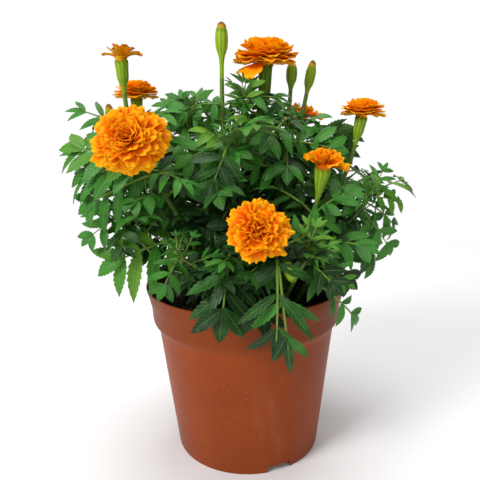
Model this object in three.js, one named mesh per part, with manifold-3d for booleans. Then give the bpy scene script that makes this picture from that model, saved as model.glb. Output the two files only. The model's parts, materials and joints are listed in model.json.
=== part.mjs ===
// A french marigold in a 12 cm terracotta-coloured plastic pot.
// Millimetres, +Z up. The origin is the middle of the pot's underside, and the plant's front is -Y.
import * as THREE from 'three';
import { mergeVertices } from 'three/addons/utils/BufferGeometryUtils.js';
import Module from 'manifold-3d';

const wasm = await Module();
wasm.setup();

const DEG = Math.PI / 180;
const UP = new THREE.Vector3(0, 0, 1);

// Clearance between pieces that stand in or beside each other, and what a plug with flats adds to it
const GAP = 0.3;
const SLACK = 0.12;

// Pot: a thin tapered shell with a wider rim band that flares out, a raised floor and three foot notches
const POT = {
  height: 104,
  footRadius: 44.3,
  ledgeRadius: 53.4,
  ledgeHeight: 78.2,
  bandRadius: 56.7,
  bandHeight: 84.2,
  waistRadius: 57.1,
  waistHeight: 92,
  rimRadius: 60,
  wall: 1.4,
  floorUnder: 4.2,
  floorTop: 5.6,
  segments: 30,
  notch: { width: 14.7, height: 4, azimuths: [23, 143, -90] },
  drain: { radius: 4, ring: 30, count: 4, sides: 6 },
};

// Compost: a plug that fills the pot to 12 mm below the rim, with a lumpy top
const SOIL = {
  top: 92, edgeDrop: 1.6, gap: 0.6, segments: 18, rings: [24, 43], holeDepth: 15, holeSides: 4,
};

// Stems taper from the soil to the head
const STEM = { baseRadius: 1.9, tipRadius: 1.15, steps: 5, sides: 5 };

// Green cups under blooms: their length, and their radius at shares of it
const CUPS = {
  cone: { length: 17, outside: [[0, 1.5], [0.3, 2.2], [0.55, 3.6], [1, 4.6]] },
  barrel: { length: 27, outside: [[0, 1.5], [0.14, 3], [0.4, 4], [1, 4.6]] },
  bell: { length: 17, outside: [[0, 1.5], [0.26, 1.9], [0.42, 3.5], [1, 4.1]] },
};

// The socket in a cup's mouth that the petals' plug stands in
const SOCKET = { wall: 0.7, depth: 6.5, tip: 0.9 };

// Leaf blades: one arched plate with its leaflets cut in to the rib. Lengths are shares of the blade's own
const LEAF = {
  thickness: 0.62,
  pairs: 3,
  shortPairs: 2,
  shortLength: 40,
  shortBreadth: 1.45,
  firstPair: 0.27,
  lastPair: 0.6,
  stagger: 0.02,
  terminalStart: 0.7,
  leafletLength: 0.37,
  leafletWidth: 0.13,
  leafletRoot: 0.3,
  leafletAngle: 54,
  ribBase: 0.8,
  ribTip: 0.5,
  droop: 48,
  sag: 0.01,
  face: 46,
  faceWhenHanging: 34,
  frontLimit: 20,
};

// Edge of a leaflet from its root to its tip: share of its length, share of its half width
const LEAFLET_EDGE = {
  toothed: [[0.5, 1], [0.58, 0.62]],
  plain: [[0.5, 0.95]],
};

// Leaves that a side or back shoot carries by rule: place on the stem, turn from its lean, lift and reach
const FAN = {
  first: 0.55, last: 0.97, single: 0.77, turn: 78, turnStep: 48, lift: 4, liftStep: 12,
  reach: 46, reachStep: 4,
};

// Ways a leaf may be bent clear of its neighbours: swing and lift in degrees, then its share of full length
const BENDS = [
  [0, 0], [9, 0], [-9, 0], [0, 9], [0, -9], [18, 0], [-18, 0], [0, 18], [0, -18],
  [13, 13], [-13, 13], [13, -13], [-13, -13], [28, 0], [-28, 0], [0, 28], [0, -28],
];
const SHRINKS = [1, 0.86, 0.72];

// Petal plates, and how far apart their layers leave the core that they stand out of
const PETAL = { thickness: 0.6, sunk: 1.4, wave: 0.9, firstLayer: 1.2, layerRise: 1.6, steep: 58 };

const COLOURS = {
  pot: { color: 0xb4552f, roughness: 0.55, metalness: 0 },
  soil: { color: 0x1d1713, roughness: 0.95, metalness: 0 },
  leaf: { color: 0x2f5a2a, roughness: 0.6, metalness: 0 },
  petal: { color: 0xf0820f, roughness: 0.6, metalness: 0 },
};

// The cup, the core that petals stand out of, then their layers from the outermost:
// petals, start angle above level, curl, width, length (degrees and mm)
const BLOOMS = {
  double: {
    cup: 'cone',
    core: 5.9,
    layers: [[9, 4, 46, 11.5, 16.5], [8, 34, 50, 10, 13.8], [6, 62, 50, 9, 11.5], [3, 84, 30, 7, 9]],
  },
  dome: {
    cup: 'barrel',
    core: 5.9,
    layers: [[9, 2, 48, 11.5, 16.2], [8, 36, 50, 10, 14.6], [6, 62, 46, 9, 12.8], [3, 84, 30, 7, 10.6]],
  },
  round: {
    cup: 'cone',
    core: 5.1,
    layers: [[8, 4, 48, 12, 14.8], [6, 40, 50, 10, 11.8], [4, 74, 40, 8, 9]],
  },
  flat: { cup: 'bell', core: 4.3, layers: [[8, 10, 36, 9, 12.6], [5, 58, 40, 7.5, 10]] },
  open: { cup: 'cone', core: 3.6, layers: [[7, 28, 40, 8, 10.4], [3, 72, 30, 6.5, 9.6]] },
  thin: { cup: 'bell', core: 3.5, layers: [[7, 10, 36, 5, 9.8], [3, 62, 30, 4, 8]] },
};

// Buds: the green cup's radius and length, the neck below it and the coloured tip above it
const BUDS = {
  tall: { radius: 3.4, length: 13, neck: 13, tip: 4 },
  orange: { radius: 2.9, length: 11.5, neck: 4, tip: 4.5 },
  green: { radius: 3.1, length: 12, neck: 3, tip: 0 },
};

// Socket in a coloured bud's mouth: its lip as a share of the bud's radius, rim, depth and end radius
const BUD_SOCKET = { lip: 0.72, rim: 0.7, depth: 3.5, end: 0.5 };

// A leaf: its place along the stem, where its blade ends, and its own droop, leaflet breadth or edge
function leaf(at, tip, more = {}) {
  return { at, tip, droop: LEAF.droop, breadth: 1, edge: 'plain', ...more };
}

// Stems: root in the soil, start of the head, the way the head points and what it carries, with its size
const STEMS = [
  { name: 'left_bloom', root: [-14, -10], head: [-51.5, -37, 180], aim: [-0.2, -0.74, 0.64],
    bloom: 'double', size: 1.04,
    leaves: [
      leaf(0.94, [-95, -30, 168], { edge: 'toothed' }),
      leaf(0.5, [-82, -40, 121]),
      leaf(0.44, [-28, -42, 113]),
    ] },
  { name: 'front_bloom', root: [1, -17], head: [6, -50, 136], aim: [0, -0.71, 0.71], bloom: 'round',
    leaves: [leaf(0.6, [9, -74, 97], { droop: 80 }), leaf(0.74, [18, -61, 110])] },
  { name: 'top_bloom', root: [4, 4], head: [12.5, 10.5, 203], aim: [0.06, -0.04, 1],
    bloom: 'dome', size: 0.94,
    leaves: [leaf(0.94, [22, -14, 203])] },
  { name: 'starry_bloom', root: [-19, -1], head: [-64, -10, 215], aim: [-0.03, 0, 1], bloom: 'thin',
    leaves: [
      leaf(0.84, [-98, -12, 208]),
      leaf(0.72, [-50, -34, 152]),
      leaf(0.34, [-38, -34, 105]),
    ] },
  { name: 'rear_left_bloom', root: [-15, 9], head: [-64, 25, 196], aim: [0, 0, 1], bloom: 'flat' },
  { name: 'right_bloom', root: [18, 4], head: [67, 10, 183], aim: [0.2, 0, 0.98], bloom: 'flat', size: 0.95,
    leaves: [
      leaf(0.86, [81, 28, 162]),
      leaf(0.78, [66, -18, 156]),
      leaf(0.64, [61, -20, 127]),
    ] },
  { name: 'opening_bloom', root: [13, -9], head: [39, -30, 157.5], aim: [0.16, -0.05, 0.98], bloom: 'open',
    leaves: [leaf(0.68, [62, -34, 107]), leaf(0.62, [55, -40, 139])] },
  { name: 'hidden_bloom', root: [13, 12], head: [37, 38, 181], aim: [0.05, 0, 1],
    bloom: 'open', size: 0.95 },
  { name: 'back_bloom', root: [-3, 17], head: [-12, 52, 153], aim: [0, 0.5, 0.86],
    bloom: 'round', size: 0.9 },
  { name: 'tall_bud', root: [-6, 6], head: [-11, 0, 222], aim: [0.02, 0, 1], bud: 'tall',
    leaves: [leaf(0.84, [-43, -8, 199]), leaf(0.8, [-26, 6, 217])] },
  { name: 'dark_bud', root: [7, 12], head: [30, 25, 216], aim: [0.06, 0, 1], bud: 'green', size: 1.05 },
  { name: 'orange_bud', root: [19, 11], head: [39, 20, 213], aim: [0.2, 0, 0.98], bud: 'orange',
    leaves: [
      leaf(0.84, [46, -6, 200]),
      leaf(0.8, [75, 8, 186]),
      leaf(0.74, [76, 14, 175]),
    ] },
  { name: 'left_bud', root: [-23, 4], head: [-76, 10, 190], aim: [-0.1, 0, 1], bud: 'orange',
    leaves: [leaf(0.94, [-102, 2, 189]), leaf(0.78, [-101, -16, 185])] },
  { name: 'right_bud', root: [24, 2], head: [62, -5, 132], aim: [0.1, 0, 1], bud: 'green', size: 0.85 },
  { name: 'nodding_bud', root: [8, -23], head: [19, -58, 134], aim: [0.3, -0.45, -0.84],
    bud: 'green', size: 0.9,
    leaves: [leaf(0.8, [12.5, -80, 85], { droop: 70, breadth: 0.6 })] },
  { name: 'back_left_bud', root: [-11, 17], head: [-42, 52, 170], aim: [-0.2, 0.3, 0.93],
    bud: 'orange', fan: 1 },
  { name: 'back_right_bud', root: [8, 20], head: [40, 55, 164], aim: [0.2, 0.3, 0.93],
    bud: 'green', fan: 1 },
  { name: 'shoot_left', root: [-25, -6], head: [-70, -20, 150], aim: [-0.5, -0.1, 0.86],
    leaves: [
      leaf(0.98, [-88, -37, 136], { edge: 'toothed' }),
      leaf(0.94, [-64, -44, 129]),
    ] },
  { name: 'shoot_front_left', root: [-11, -20], head: [-34, -56, 136], aim: [-0.3, -0.4, 0.86],
    leaves: [leaf(0.97, [-42, -76, 118]), leaf(0.75, [-14, -66, 120])] },
  { name: 'shoot_front', root: [-4, -25], head: [-8, -44, 134], aim: [0, -0.4, 0.92],
    leaves: [leaf(0.98, [-8, -80, 97], { droop: 70, edge: 'toothed' })] },
  { name: 'shoot_front_right', root: [16, -17], head: [31, -53, 133], aim: [0.3, -0.4, 0.86],
    leaves: [leaf(0.82, [62, -42, 88], { droop: 80, breadth: 0.8 }), leaf(0.96, [46, -74, 118])] },
  { name: 'shoot_right', root: [26, -6], head: [72, -10, 156], aim: [0.5, 0, 0.86],
    leaves: [
      leaf(1, [101, 12, 161]),
      leaf(0.95, [92, 0, 131], { edge: 'toothed' }),
      leaf(0.82, [77, -2, 106]),
    ] },
  { name: 'shoot_back_right', root: [22, 17], head: [58, 45, 148], aim: [0.4, 0.3, 0.86], fan: 2 },
  { name: 'shoot_back', root: [0, 26], head: [4, 58, 142], aim: [0, 0.5, 0.86],
    leaves: [leaf(0.97, [-16, 81, 128]), leaf(0.6, [30, 70, 112])] },
  { name: 'shoot_back_left', root: [-21, 15], head: [-60, 46, 150], aim: [-0.4, 0.3, 0.86], fan: 2 },
  { name: 'shoot_centre', root: [-4, -8], head: [-6, -22, 192], aim: [0, -0.2, 0.98],
    leaves: [
      leaf(1, [-20, -48, 158], { edge: 'toothed' }),
      leaf(0.95, [-37, -40, 177]),
      leaf(0.68, [0, -38, 175]),
      leaf(0.66, [-22, -40, 134]),
    ] },
  { name: 'shoot_upper_right', root: [7, -9], head: [27, -2, 200], aim: [0.1, 0, 1],
    leaves: [
      leaf(1, [-2, -30, 183]),
      leaf(0.85, [22, -42, 168]),
    ] },
  { name: 'shoot_upper_left', root: [-11, -2], head: [-30, -8, 190], aim: [-0.2, -0.1, 0.98],
    leaves: [leaf(1, [-38, 12, 216]), leaf(0.85, [-34, -42, 165])] },
  { name: 'shoot_top', root: [1, -3], head: [1, -3, 204], aim: [0.05, 0, 1],
    leaves: [leaf(0.97, [10, -4, 224]), leaf(1, [-9, -10, 222])] },
];

// A closed solid from a three.js geometry
function solidOf(geometry) {
  const bare = geometry.clone();
  for (const extra of ['normal', 'uv']) bare.deleteAttribute(extra);
  const merged = mergeVertices(bare, 1e-5);
  return new wasm.Manifold(new wasm.Mesh({
    numProp: 3,
    vertProperties: new Float32Array(merged.attributes.position.array),
    triVerts: new Uint32Array(merged.index.array),
  }));
}

// A three.js geometry from a closed solid
function geometryOf(solid) {
  const mesh = solid.getMesh();
  const geometry = new THREE.BufferGeometry();
  geometry.setAttribute('position', new THREE.BufferAttribute(new Float32Array(mesh.vertProperties), 3));
  geometry.setIndex(new THREE.BufferAttribute(new Uint32Array(mesh.triVerts), 1));
  geometry.computeVertexNormals();
  return geometry;
}

// A closed solid from a list of points and a list of corner triples
function solidFrom(points, triangles) {
  const geometry = new THREE.BufferGeometry().setFromPoints(points);
  geometry.setIndex(triangles.flat());
  return solidOf(geometry);
}

// The largest body of a solid, so that no loose scrap is kept
function mainBody(solid) {
  return solid.decompose().reduce((best, body) => (body.volume() > best.volume() ? body : best));
}

function vector(numbers) {
  return new THREE.Vector3(...numbers);
}

// Corner i of ring j where every ring has the same number of corners after one middle point
function ringCorner(sides) {
  return (ring, i) => 1 + ring * sides + (i % sides);
}

// Pot

// The shell's inside corners, [radius, height], from its floor to its rim
const POT_INSIDE = [
  [POT.footRadius - POT.wall + 0.6, POT.floorTop],
  [POT.ledgeRadius - POT.wall, POT.ledgeHeight + 0.8],
  [POT.bandRadius - POT.wall, POT.bandHeight + 0.8],
  [POT.waistRadius - POT.wall, POT.waistHeight],
  [POT.rimRadius - POT.wall, POT.height],
];

function potProfile() {
  const ledgeRise = 1.8;
  const points = [
    [0, POT.floorUnder],
    [POT.footRadius - POT.wall + 0.2, POT.floorUnder],
    [POT.footRadius - POT.wall, 0],
    [POT.footRadius, 0],
    [POT.ledgeRadius, POT.ledgeHeight],
    [POT.bandRadius - 0.6, POT.bandHeight - ledgeRise],
    [POT.bandRadius, POT.bandHeight],
    [POT.waistRadius, POT.waistHeight],
    [POT.rimRadius, POT.height],
    ...POT_INSIDE.toReversed(),
    [0, POT.floorTop],
  ];
  return points.map(([radius, height]) => new THREE.Vector2(radius, height));
}

function makePot() {
  let pot = solidOf(new THREE.LatheGeometry(potProfile(), POT.segments).rotateX(Math.PI / 2));
  const { width, height, azimuths } = POT.notch;
  for (const azimuth of azimuths) {
    const notch = new THREE.BoxGeometry(width, 12, height * 2);
    notch.translate(0, -POT.footRadius, 0).rotateZ(azimuth * DEG);
    pot = pot.subtract(solidOf(notch));
  }
  const { radius, ring, count, sides } = POT.drain;
  for (let i = 0; i <= count; i += 1) {
    const hole = new THREE.CylinderGeometry(radius, radius, 20, sides).rotateX(Math.PI / 2);
    if (i > 0) hole.translate(0, ring, 0).rotateZ((i * 2 * Math.PI) / count);
    pot = pot.subtract(solidOf(hole));
  }
  return pot;
}

// The pot's inside radius at a height above its floor
function potInside(height) {
  const above = POT_INSIDE.findIndex(([, z]) => z >= height);
  const [to, from] = [POT_INSIDE[Math.max(above, 1)], POT_INSIDE[Math.max(above, 1) - 1]];
  return from[0] + ((to[0] - from[0]) * (height - from[1])) / (to[1] - from[1]);
}

// Soil

function soilHeight(x, y) {
  const lumps = 0.9 * Math.sin(0.35 * x + 0.8) * Math.cos(0.31 * y - 0.4);
  const crumbs = 0.5 * Math.sin(0.7 * x - 0.4 * y);
  const edge = Math.hypot(x, y) / potInside(SOIL.top);
  return SOIL.top + lumps + crumbs - SOIL.edgeDrop * edge ** 6;
}

function makeSoil(stems) {
  const { segments, rings, gap, top } = SOIL;
  const low = POT.floorTop + GAP;
  const levels = [top - SOIL.edgeDrop, POT_INSIDE[1][1], low];
  const points = [new THREE.Vector3(0, 0, soilHeight(0, 0))];
  const addRing = (radius, height) => {
    for (let i = 0; i < segments; i += 1) {
      const angle = (i * 2 * Math.PI) / segments;
      const x = radius * Math.cos(angle);
      const y = radius * Math.sin(angle);
      points.push(new THREE.Vector3(x, y, height ?? soilHeight(x, y)));
    }
  };
  rings.forEach((radius) => addRing(radius));
  levels.forEach((height) => addRing(potInside(height) - gap, height));
  points.push(new THREE.Vector3(0, 0, low));
  const last = rings.length + levels.length - 1;
  const corner = ringCorner(segments);
  const triangles = [];
  for (let i = 0; i < segments; i += 1) {
    triangles.push([0, corner(0, i), corner(0, i + 1)]);
    for (let row = 0; row < last; row += 1) {
      triangles.push([corner(row, i), corner(row + 1, i), corner(row + 1, i + 1)]);
      triangles.push([corner(row, i), corner(row + 1, i + 1), corner(row, i + 1)]);
    }
    triangles.push([points.length - 1, corner(last, i + 1), corner(last, i)]);
  }
  let soil = solidFrom(points, triangles);
  for (const stem of stems) soil = soil.subtract(stem.hole);
  return soil;
}

// Stems, with their cup or bud

function stemCurve({ root, head, aim }) {
  const start = new THREE.Vector3(root[0], root[1], SOIL.top - SOIL.holeDepth);
  const end = vector(head);
  const span = start.distanceTo(end);
  const lean = new THREE.Vector3(root[0], root[1], 0).multiplyScalar(0.35);
  const rise = start.clone().add(lean).addScaledVector(UP, 0.38 * span);
  const arrive = end.clone().addScaledVector(vector(aim).normalize(), -0.34 * span);
  return new THREE.CubicBezierCurve3(start, rise, arrive, end);
}

// Evenly spaced frames along a curve, each carried over from the one before without twist
function framesAlong(curve, steps, last = 1) {
  const frames = [];
  let across = new THREE.Vector3(1, 0, 0);
  for (let i = 0; i <= steps; i += 1) {
    const t = (last * i) / steps;
    const along = curve.getTangent(t);
    across = across.clone().addScaledVector(along, -across.dot(along)).normalize();
    frames.push({ t, centre: curve.getPoint(t), along, across, beside: along.clone().cross(across) });
  }
  return frames;
}

// A closed tube through rings, each { centre, across, beside, radius }, with flat ends
function loft(rings, sides) {
  const points = [rings[0].centre];
  for (const { centre, across, beside, radius } of rings) {
    for (let i = 0; i < sides; i += 1) {
      const angle = (i * 2 * Math.PI) / sides;
      points.push(centre.clone()
        .addScaledVector(across, radius * Math.cos(angle))
        .addScaledVector(beside, radius * Math.sin(angle)));
    }
  }
  points.push(rings.at(-1).centre);
  const last = rings.length - 1;
  const corner = ringCorner(sides);
  const triangles = [];
  for (let i = 0; i < sides; i += 1) {
    triangles.push([0, corner(0, i + 1), corner(0, i)]);
    for (let ring = 0; ring < last; ring += 1) {
      triangles.push([corner(ring, i), corner(ring, i + 1), corner(ring + 1, i + 1)]);
      triangles.push([corner(ring, i), corner(ring + 1, i + 1), corner(ring + 1, i)]);
    }
    triangles.push([points.length - 1, corner(last, i), corner(last, i + 1)]);
  }
  return solidFrom(points, triangles);
}

function stemRings(frames, extra = 0) {
  const radiusAt = (t) => STEM.baseRadius + (STEM.tipRadius - STEM.baseRadius) * t;
  return frames.map((frame) => ({ ...frame, radius: radiusAt(frame.t) + extra }));
}

// Rings of a head that stands on the end of a stem, from [height, radius] pairs
function headRings(frame, heights) {
  return heights.map(([height, radius]) => ({
    ...frame, centre: frame.centre.clone().addScaledVector(frame.along, height), radius,
  }));
}

// The cup under a stem's bloom, with the radius of the socket in its mouth
function cupOf({ bloom }) {
  const cup = CUPS[BLOOMS[bloom].cup];
  return { ...cup, socketRadius: cup.outside.at(-1)[1] - SOCKET.wall };
}

function cupHeights({ length, outside, socketRadius }) {
  const rows = outside.map(([share, radius]) => [share * length, radius]);
  return [...rows, [length, socketRadius], [length - SOCKET.depth, SOCKET.tip]];
}

// A bud's sizes, scaled by its stem's own size
function budSizes({ bud, size = 1 }) {
  return Object.fromEntries(Object.entries(BUDS[bud]).map(([key, value]) => [key, value * size]));
}

function budHeights({ radius, length, neck, tip }) {
  const top = neck + length;
  const outside = [
    [neck, radius * 0.55], [neck + length * 0.3, radius], [neck + length * 0.7, radius * 0.92],
  ];
  if (!tip) return [...outside, [top, radius * 0.25]];
  const { lip, rim, depth, end } = BUD_SOCKET;
  return [...outside, [top, radius * lip], [top, radius * lip - rim], [top - depth, end]];
}

// A hole's corners lie on a wider circle than the stem's, so that its flats still clear the stem
function makeHole(curve) {
  const frames = framesAlong(curve, STEM.steps);
  const clear = frames.findIndex(({ centre }) => centre.z > SOIL.top + 2);
  const [foot, ...above] = frames.slice(0, clear + 1);
  const sunk = { ...foot, centre: foot.centre.clone().addScaledVector(UP, -GAP) };
  const spread = 1 / Math.cos(Math.PI / SOIL.holeSides);
  const rings = stemRings([sunk, ...above], GAP).map((ring) => ({ ...ring, radius: ring.radius * spread }));
  return loft(rings, SOIL.holeSides);
}

function makeStem(spec) {
  const curve = stemCurve(spec);
  const frames = framesAlong(curve, STEM.steps);
  const end = frames.at(-1);
  const rings = stemRings(frames);
  if (spec.bloom) rings.splice(-1, 1, ...headRings(end, cupHeights(cupOf(spec))));
  if (spec.bud) rings.push(...headRings(end, budHeights(budSizes(spec))));
  const body = loft(rings, STEM.sides);
  return { ...spec, curve, end, body, hole: makeHole(curve) };
}

// Leaves

// A closed plate from its outline's [top, bottom] pairs, counter-clockwise from above, and its triangles
function plate(pairs, faces) {
  const count = pairs.length;
  const points = [...pairs.map(([top]) => top), ...pairs.map(([, bottom]) => bottom)];
  const triangles = [];
  for (const [a, b, c] of faces) triangles.push([a, b, c], [a + count, c + count, b + count]);
  for (let i = 0; i < count; i += 1) {
    const next = (i + 1) % count;
    triangles.push([i, i + count, next + count], [i, next + count, next]);
  }
  return solidFrom(points, triangles);
}

// One edge of a leaflet, from root to tip, as [along, across] with across on one side
function leafletEdge(length, width, edge, side) {
  return LEAFLET_EDGE[edge].map(([along, across]) => [along * length, (side * across * width) / 2]);
}

// The blade's outline in its own plane, counter-clockwise: along the right edge to the tip and back
function leafOutline(length, { breadth, edge }) {
  const { firstPair, lastPair, stagger, terminalStart } = LEAF;
  const pairs = length < LEAF.shortLength ? LEAF.shortPairs : LEAF.pairs;
  const width = length * LEAF.leafletWidth * breadth * (pairs < LEAF.pairs ? LEAF.shortBreadth : 1);
  const angle = LEAF.leafletAngle * DEG;
  const ribAt = (s) => LEAF.ribBase + ((LEAF.ribTip - LEAF.ribBase) * s) / length;
  const side = (sign) => {
    const points = [[0, sign * ribAt(0)]];
    for (let k = 0; k < pairs; k += 1) {
      const share = firstPair + ((lastPair - firstPair) * k) / (pairs - 1) + (sign > 0 ? stagger : 0);
      const root = share * length;
      const reach = length * LEAF.leafletLength * breadth * (1 - 0.18 * Math.abs(k - 1));
      const rear = leafletEdge(reach, width, edge, -1);
      const front = leafletEdge(reach, width, edge, 1).reverse();
      const half = (LEAF.leafletRoot * width) / 2 / Math.sin(angle);
      points.push([root - half, sign * ribAt(root)]);
      for (const [along, across] of [...rear, [reach, 0], ...front]) {
        const s = root + along * Math.cos(angle) + across * Math.sin(angle);
        points.push([s, sign * (ribAt(root) + along * Math.sin(angle) - across * Math.cos(angle))]);
      }
      points.push([root + half, sign * ribAt(root)]);
    }
    const start = length * terminalStart;
    points.push([start, sign * ribAt(start)]);
    for (const [along, across] of leafletEdge(length - start, width * 1.2, edge, sign)) {
      points.push([start + along, across]);
    }
    return points;
  };
  return [...side(-1), [length, 0], ...side(1).reverse()];
}

// A blade's place: where it starts, the axes of its arch and the radius that it bends to
function leafFrame(base, tip, droop) {
  const chord = tip.clone().sub(base);
  const ahead = chord.clone().normalize();
  const across = UP.clone().cross(ahead).normalize();
  const front = (base.y + tip.y) / 2 < LEAF.frontLimit ? -1 : 1;
  const outward = across.clone().multiplyScalar(across.y * front < 0 ? -1 : 1);
  const lean = (LEAF.face + LEAF.faceWhenHanging * Math.max(0, -ahead.z)) * DEG * Math.abs(across.y);
  const upward = ahead.clone().cross(across);
  const normal = upward.multiplyScalar(Math.cos(lean)).addScaledVector(outward, Math.sin(lean));
  const half = (droop * DEG) / 2;
  const length = (chord.length() * half) / Math.sin(half);
  return {
    base,
    length,
    radius: length / (2 * half),
    along: ahead.clone().multiplyScalar(Math.cos(half)).addScaledVector(normal, Math.sin(half)),
    normal: normal.clone().multiplyScalar(Math.cos(half)).addScaledVector(ahead, -Math.sin(half)),
    side: normal.clone().cross(ahead),
  };
}

// A point of a blade: s along its rib, t to its left, h above it
function leafPoint({ base, radius, along, normal, side }, s, t, h) {
  const turn = s / radius;
  const rise = h - LEAF.sag * t * t;
  return base.clone()
    .addScaledVector(along, (radius + rise) * Math.sin(turn))
    .addScaledVector(normal, (radius + rise) * Math.cos(turn) - radius)
    .addScaledVector(side, t);
}

function leafSolid(frame, spec) {
  const outline = leafOutline(frame.length, spec);
  const faces = THREE.ShapeUtils.triangulateShape(outline.map(([s, t]) => new THREE.Vector2(s, t)), []);
  const half = LEAF.thickness / 2;
  const pairs = outline.map(([s, t]) => [leafPoint(frame, s, t, half), leafPoint(frame, s, t, -half)]);
  return plate(pairs, faces);
}

// Where a leaf's tip lies after it is swung, lifted and shortened about its base
function bentTip(base, tip, [swing, lift], shrink) {
  const reach = tip.clone().sub(base).applyAxisAngle(UP, swing * DEG);
  const hinge = reach.clone().cross(UP).normalize();
  return reach.applyAxisAngle(hinge, lift * DEG).multiplyScalar(shrink).add(base);
}

// Leaves that a shoot carries by rule, to one side and the other of the way it leans
function fanLeaves({ head, fan = 0, curve }) {
  const lean = Math.atan2(head[1], head[0]);
  return Array.from({ length: fan }, (_, i) => {
    const at = fan > 1 ? FAN.first + ((FAN.last - FAN.first) * i) / (fan - 1) : FAN.single;
    const turn = lean + (i % 2 ? -1 : 1) * (FAN.turn - FAN.turnStep * i) * DEG;
    const lift = (FAN.lift + FAN.liftStep * i) * DEG;
    const reach = FAN.reach - FAN.reachStep * i;
    const level = reach * Math.cos(lift);
    const from = curve.getPoint(at);
    const [x, y] = [from.x + level * Math.cos(turn), from.y + level * Math.sin(turn)];
    return leaf(at, [x, y, from.z + reach * Math.sin(lift)]);
  });
}

function boxesMeet(a, b) {
  return [0, 1, 2].every((axis) => a.min[axis] - GAP < b.max[axis] && b.min[axis] - GAP < a.max[axis]);
}

// Whether a solid keeps its clearance to every solid of the other pieces
function isClear(solid, owner, others) {
  const box = solid.boundingBox();
  return others.every((other) => other.owner === owner || !boxesMeet(box, other.box)
    || solid.minGap(other.solid, GAP) >= GAP);
}

function obstacle(owner, solid) {
  return { owner, solid, box: solid.boundingBox() };
}

// The first way of bending a leaf that clears its neighbours, or nothing
function fitLeaf(stem, spec, obstacles) {
  const base = stem.curve.getPoint(spec.at);
  for (const shrink of SHRINKS) {
    for (const bend of BENDS) {
      const frame = leafFrame(base, bentTip(base, vector(spec.tip), bend, shrink), spec.droop);
      const solid = leafSolid(frame, spec);
      if (isClear(solid, stem.name, obstacles)) return solid;
    }
  }
  return null;
}

// Blooms

// One petal plate about +Z: it leaves the core at a height, turns over and ends in a waved edge
function petalSolid(azimuth, height, root, { start, curl, width, length }, flip) {
  const half = PETAL.thickness / 2;
  const first = start * DEG;
  const bend = length / (curl * DEG);
  const place = (share, side, lift) => {
    const slope = first - curl * DEG * share;
    const out = root + bend * (Math.sin(first) - Math.sin(slope));
    const rise = height + bend * (Math.cos(slope) - Math.cos(first));
    return new THREE.Vector3(
      out - lift * Math.sin(slope), side * width, rise + lift * Math.cos(slope),
    ).applyAxisAngle(UP, azimuth);
  };
  const wave = PETAL.wave * flip;
  const outline = [[0, -0.1, 0], [0.93, -0.5, wave], [1, 0, -wave], [0.93, 0.5, wave], [0, 0.1, 0]];
  const faces = [[0, 1, 2], [0, 2, 4], [4, 2, 3]];
  if (start < PETAL.steep) {
    outline.splice(1, 0, [0.45, -0.27, 0]);
    outline.splice(5, 0, [0.45, 0.27, 0]);
    faces.splice(0, 3, [0, 1, 5], [0, 5, 6], [1, 2, 3], [1, 3, 5], [5, 3, 4]);
  }
  return plate(outline.map(([share, side, lift]) => [
    place(share, side, lift + half), place(share, side, lift - half),
  ]), faces);
}

// Turns a solid made about +Z so that it stands on a stem's end
function standOn(solid, frame, height) {
  const base = frame.centre.clone().addScaledVector(frame.along, height);
  const matrix = new THREE.Matrix4().makeBasis(frame.across, frame.beside, frame.along).setPosition(base);
  return solid.transform(matrix.toArray());
}

// The frame in which heads are made before they are stood on their stems
const UPRIGHT = {
  centre: new THREE.Vector3(),
  across: new THREE.Vector3(1, 0, 0),
  beside: new THREE.Vector3(0, 1, 0),
  along: UP,
};

function makePetals(stem) {
  const { core, layers } = BLOOMS[stem.bloom];
  const cup = cupOf(stem);
  const size = stem.size ?? 1;
  const plug = cup.socketRadius - GAP - SLACK;
  const wide = Math.max(plug, core * size);
  const top = PETAL.firstLayer + (layers.length - 1) * PETAL.layerRise + 1.4;
  const stalk = [[3 * GAP - SOCKET.depth, SOCKET.tip / 2], [1.5 * GAP, plug]];
  const rings = [...stalk, [2.5 * GAP, wide], [top * 0.6, wide], [top, wide * 0.5]];
  let petals = loft(headRings(UPRIGHT, rings), STEM.sides);
  layers.forEach(([count, start, curl, width, length], row) => {
    const height = PETAL.firstLayer + row * PETAL.layerRise;
    const shape = { start, curl, width: width * size, length: length * size };
    for (let i = 0; i < count; i += 1) {
      const azimuth = ((i + 0.5 * (row % 2) + 0.13 * row) * 2 * Math.PI) / count;
      petals = petals.add(petalSolid(azimuth, height, wide - PETAL.sunk, shape, i % 2 ? 1 : -1));
    }
  });
  return mainBody(standOn(petals, stem.end, cup.length));
}

function makeBudTip(stem) {
  const { radius, length, neck, tip } = budSizes(stem);
  const { lip, rim, depth, end } = BUD_SOCKET;
  const mouth = radius * lip - rim - GAP - SLACK;
  const heights = [[2 * GAP - depth, end / 2], [0, mouth], [tip * 0.55, mouth * 0.9], [tip, mouth * 0.35]];
  return standOn(loft(headRings(UPRIGHT, heights), STEM.sides), stem.end, neck + length);
}

// Assembly

const stems = STEMS.map(makeStem);
for (const stem of stems) {
  if (stem.bloom) stem.petals = makePetals(stem);
  if (stem.bud && BUDS[stem.bud].tip) stem.tip = makeBudTip(stem);
}
const pot = makePot();
const soil = makeSoil(stems);

const obstacles = [obstacle('pot', pot), obstacle('soil', soil)];
for (const stem of stems) {
  obstacles.push(obstacle(stem.name, stem.body));
  if (stem.petals) obstacles.push(obstacle('petals', stem.petals));
  if (stem.tip) obstacles.push(obstacle('tip', stem.tip));
}
for (const stem of stems) {
  for (const spec of [...(stem.leaves ?? []), ...fanLeaves(stem)]) {
    const solid = fitLeaf(stem, spec, obstacles);
    if (solid) {
      obstacles.push(obstacle(stem.name, solid));
      stem.body = stem.body.add(solid);
    }
  }
}

const plant = new THREE.Group();
plant.name = 'potted_french_marigold';

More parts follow.
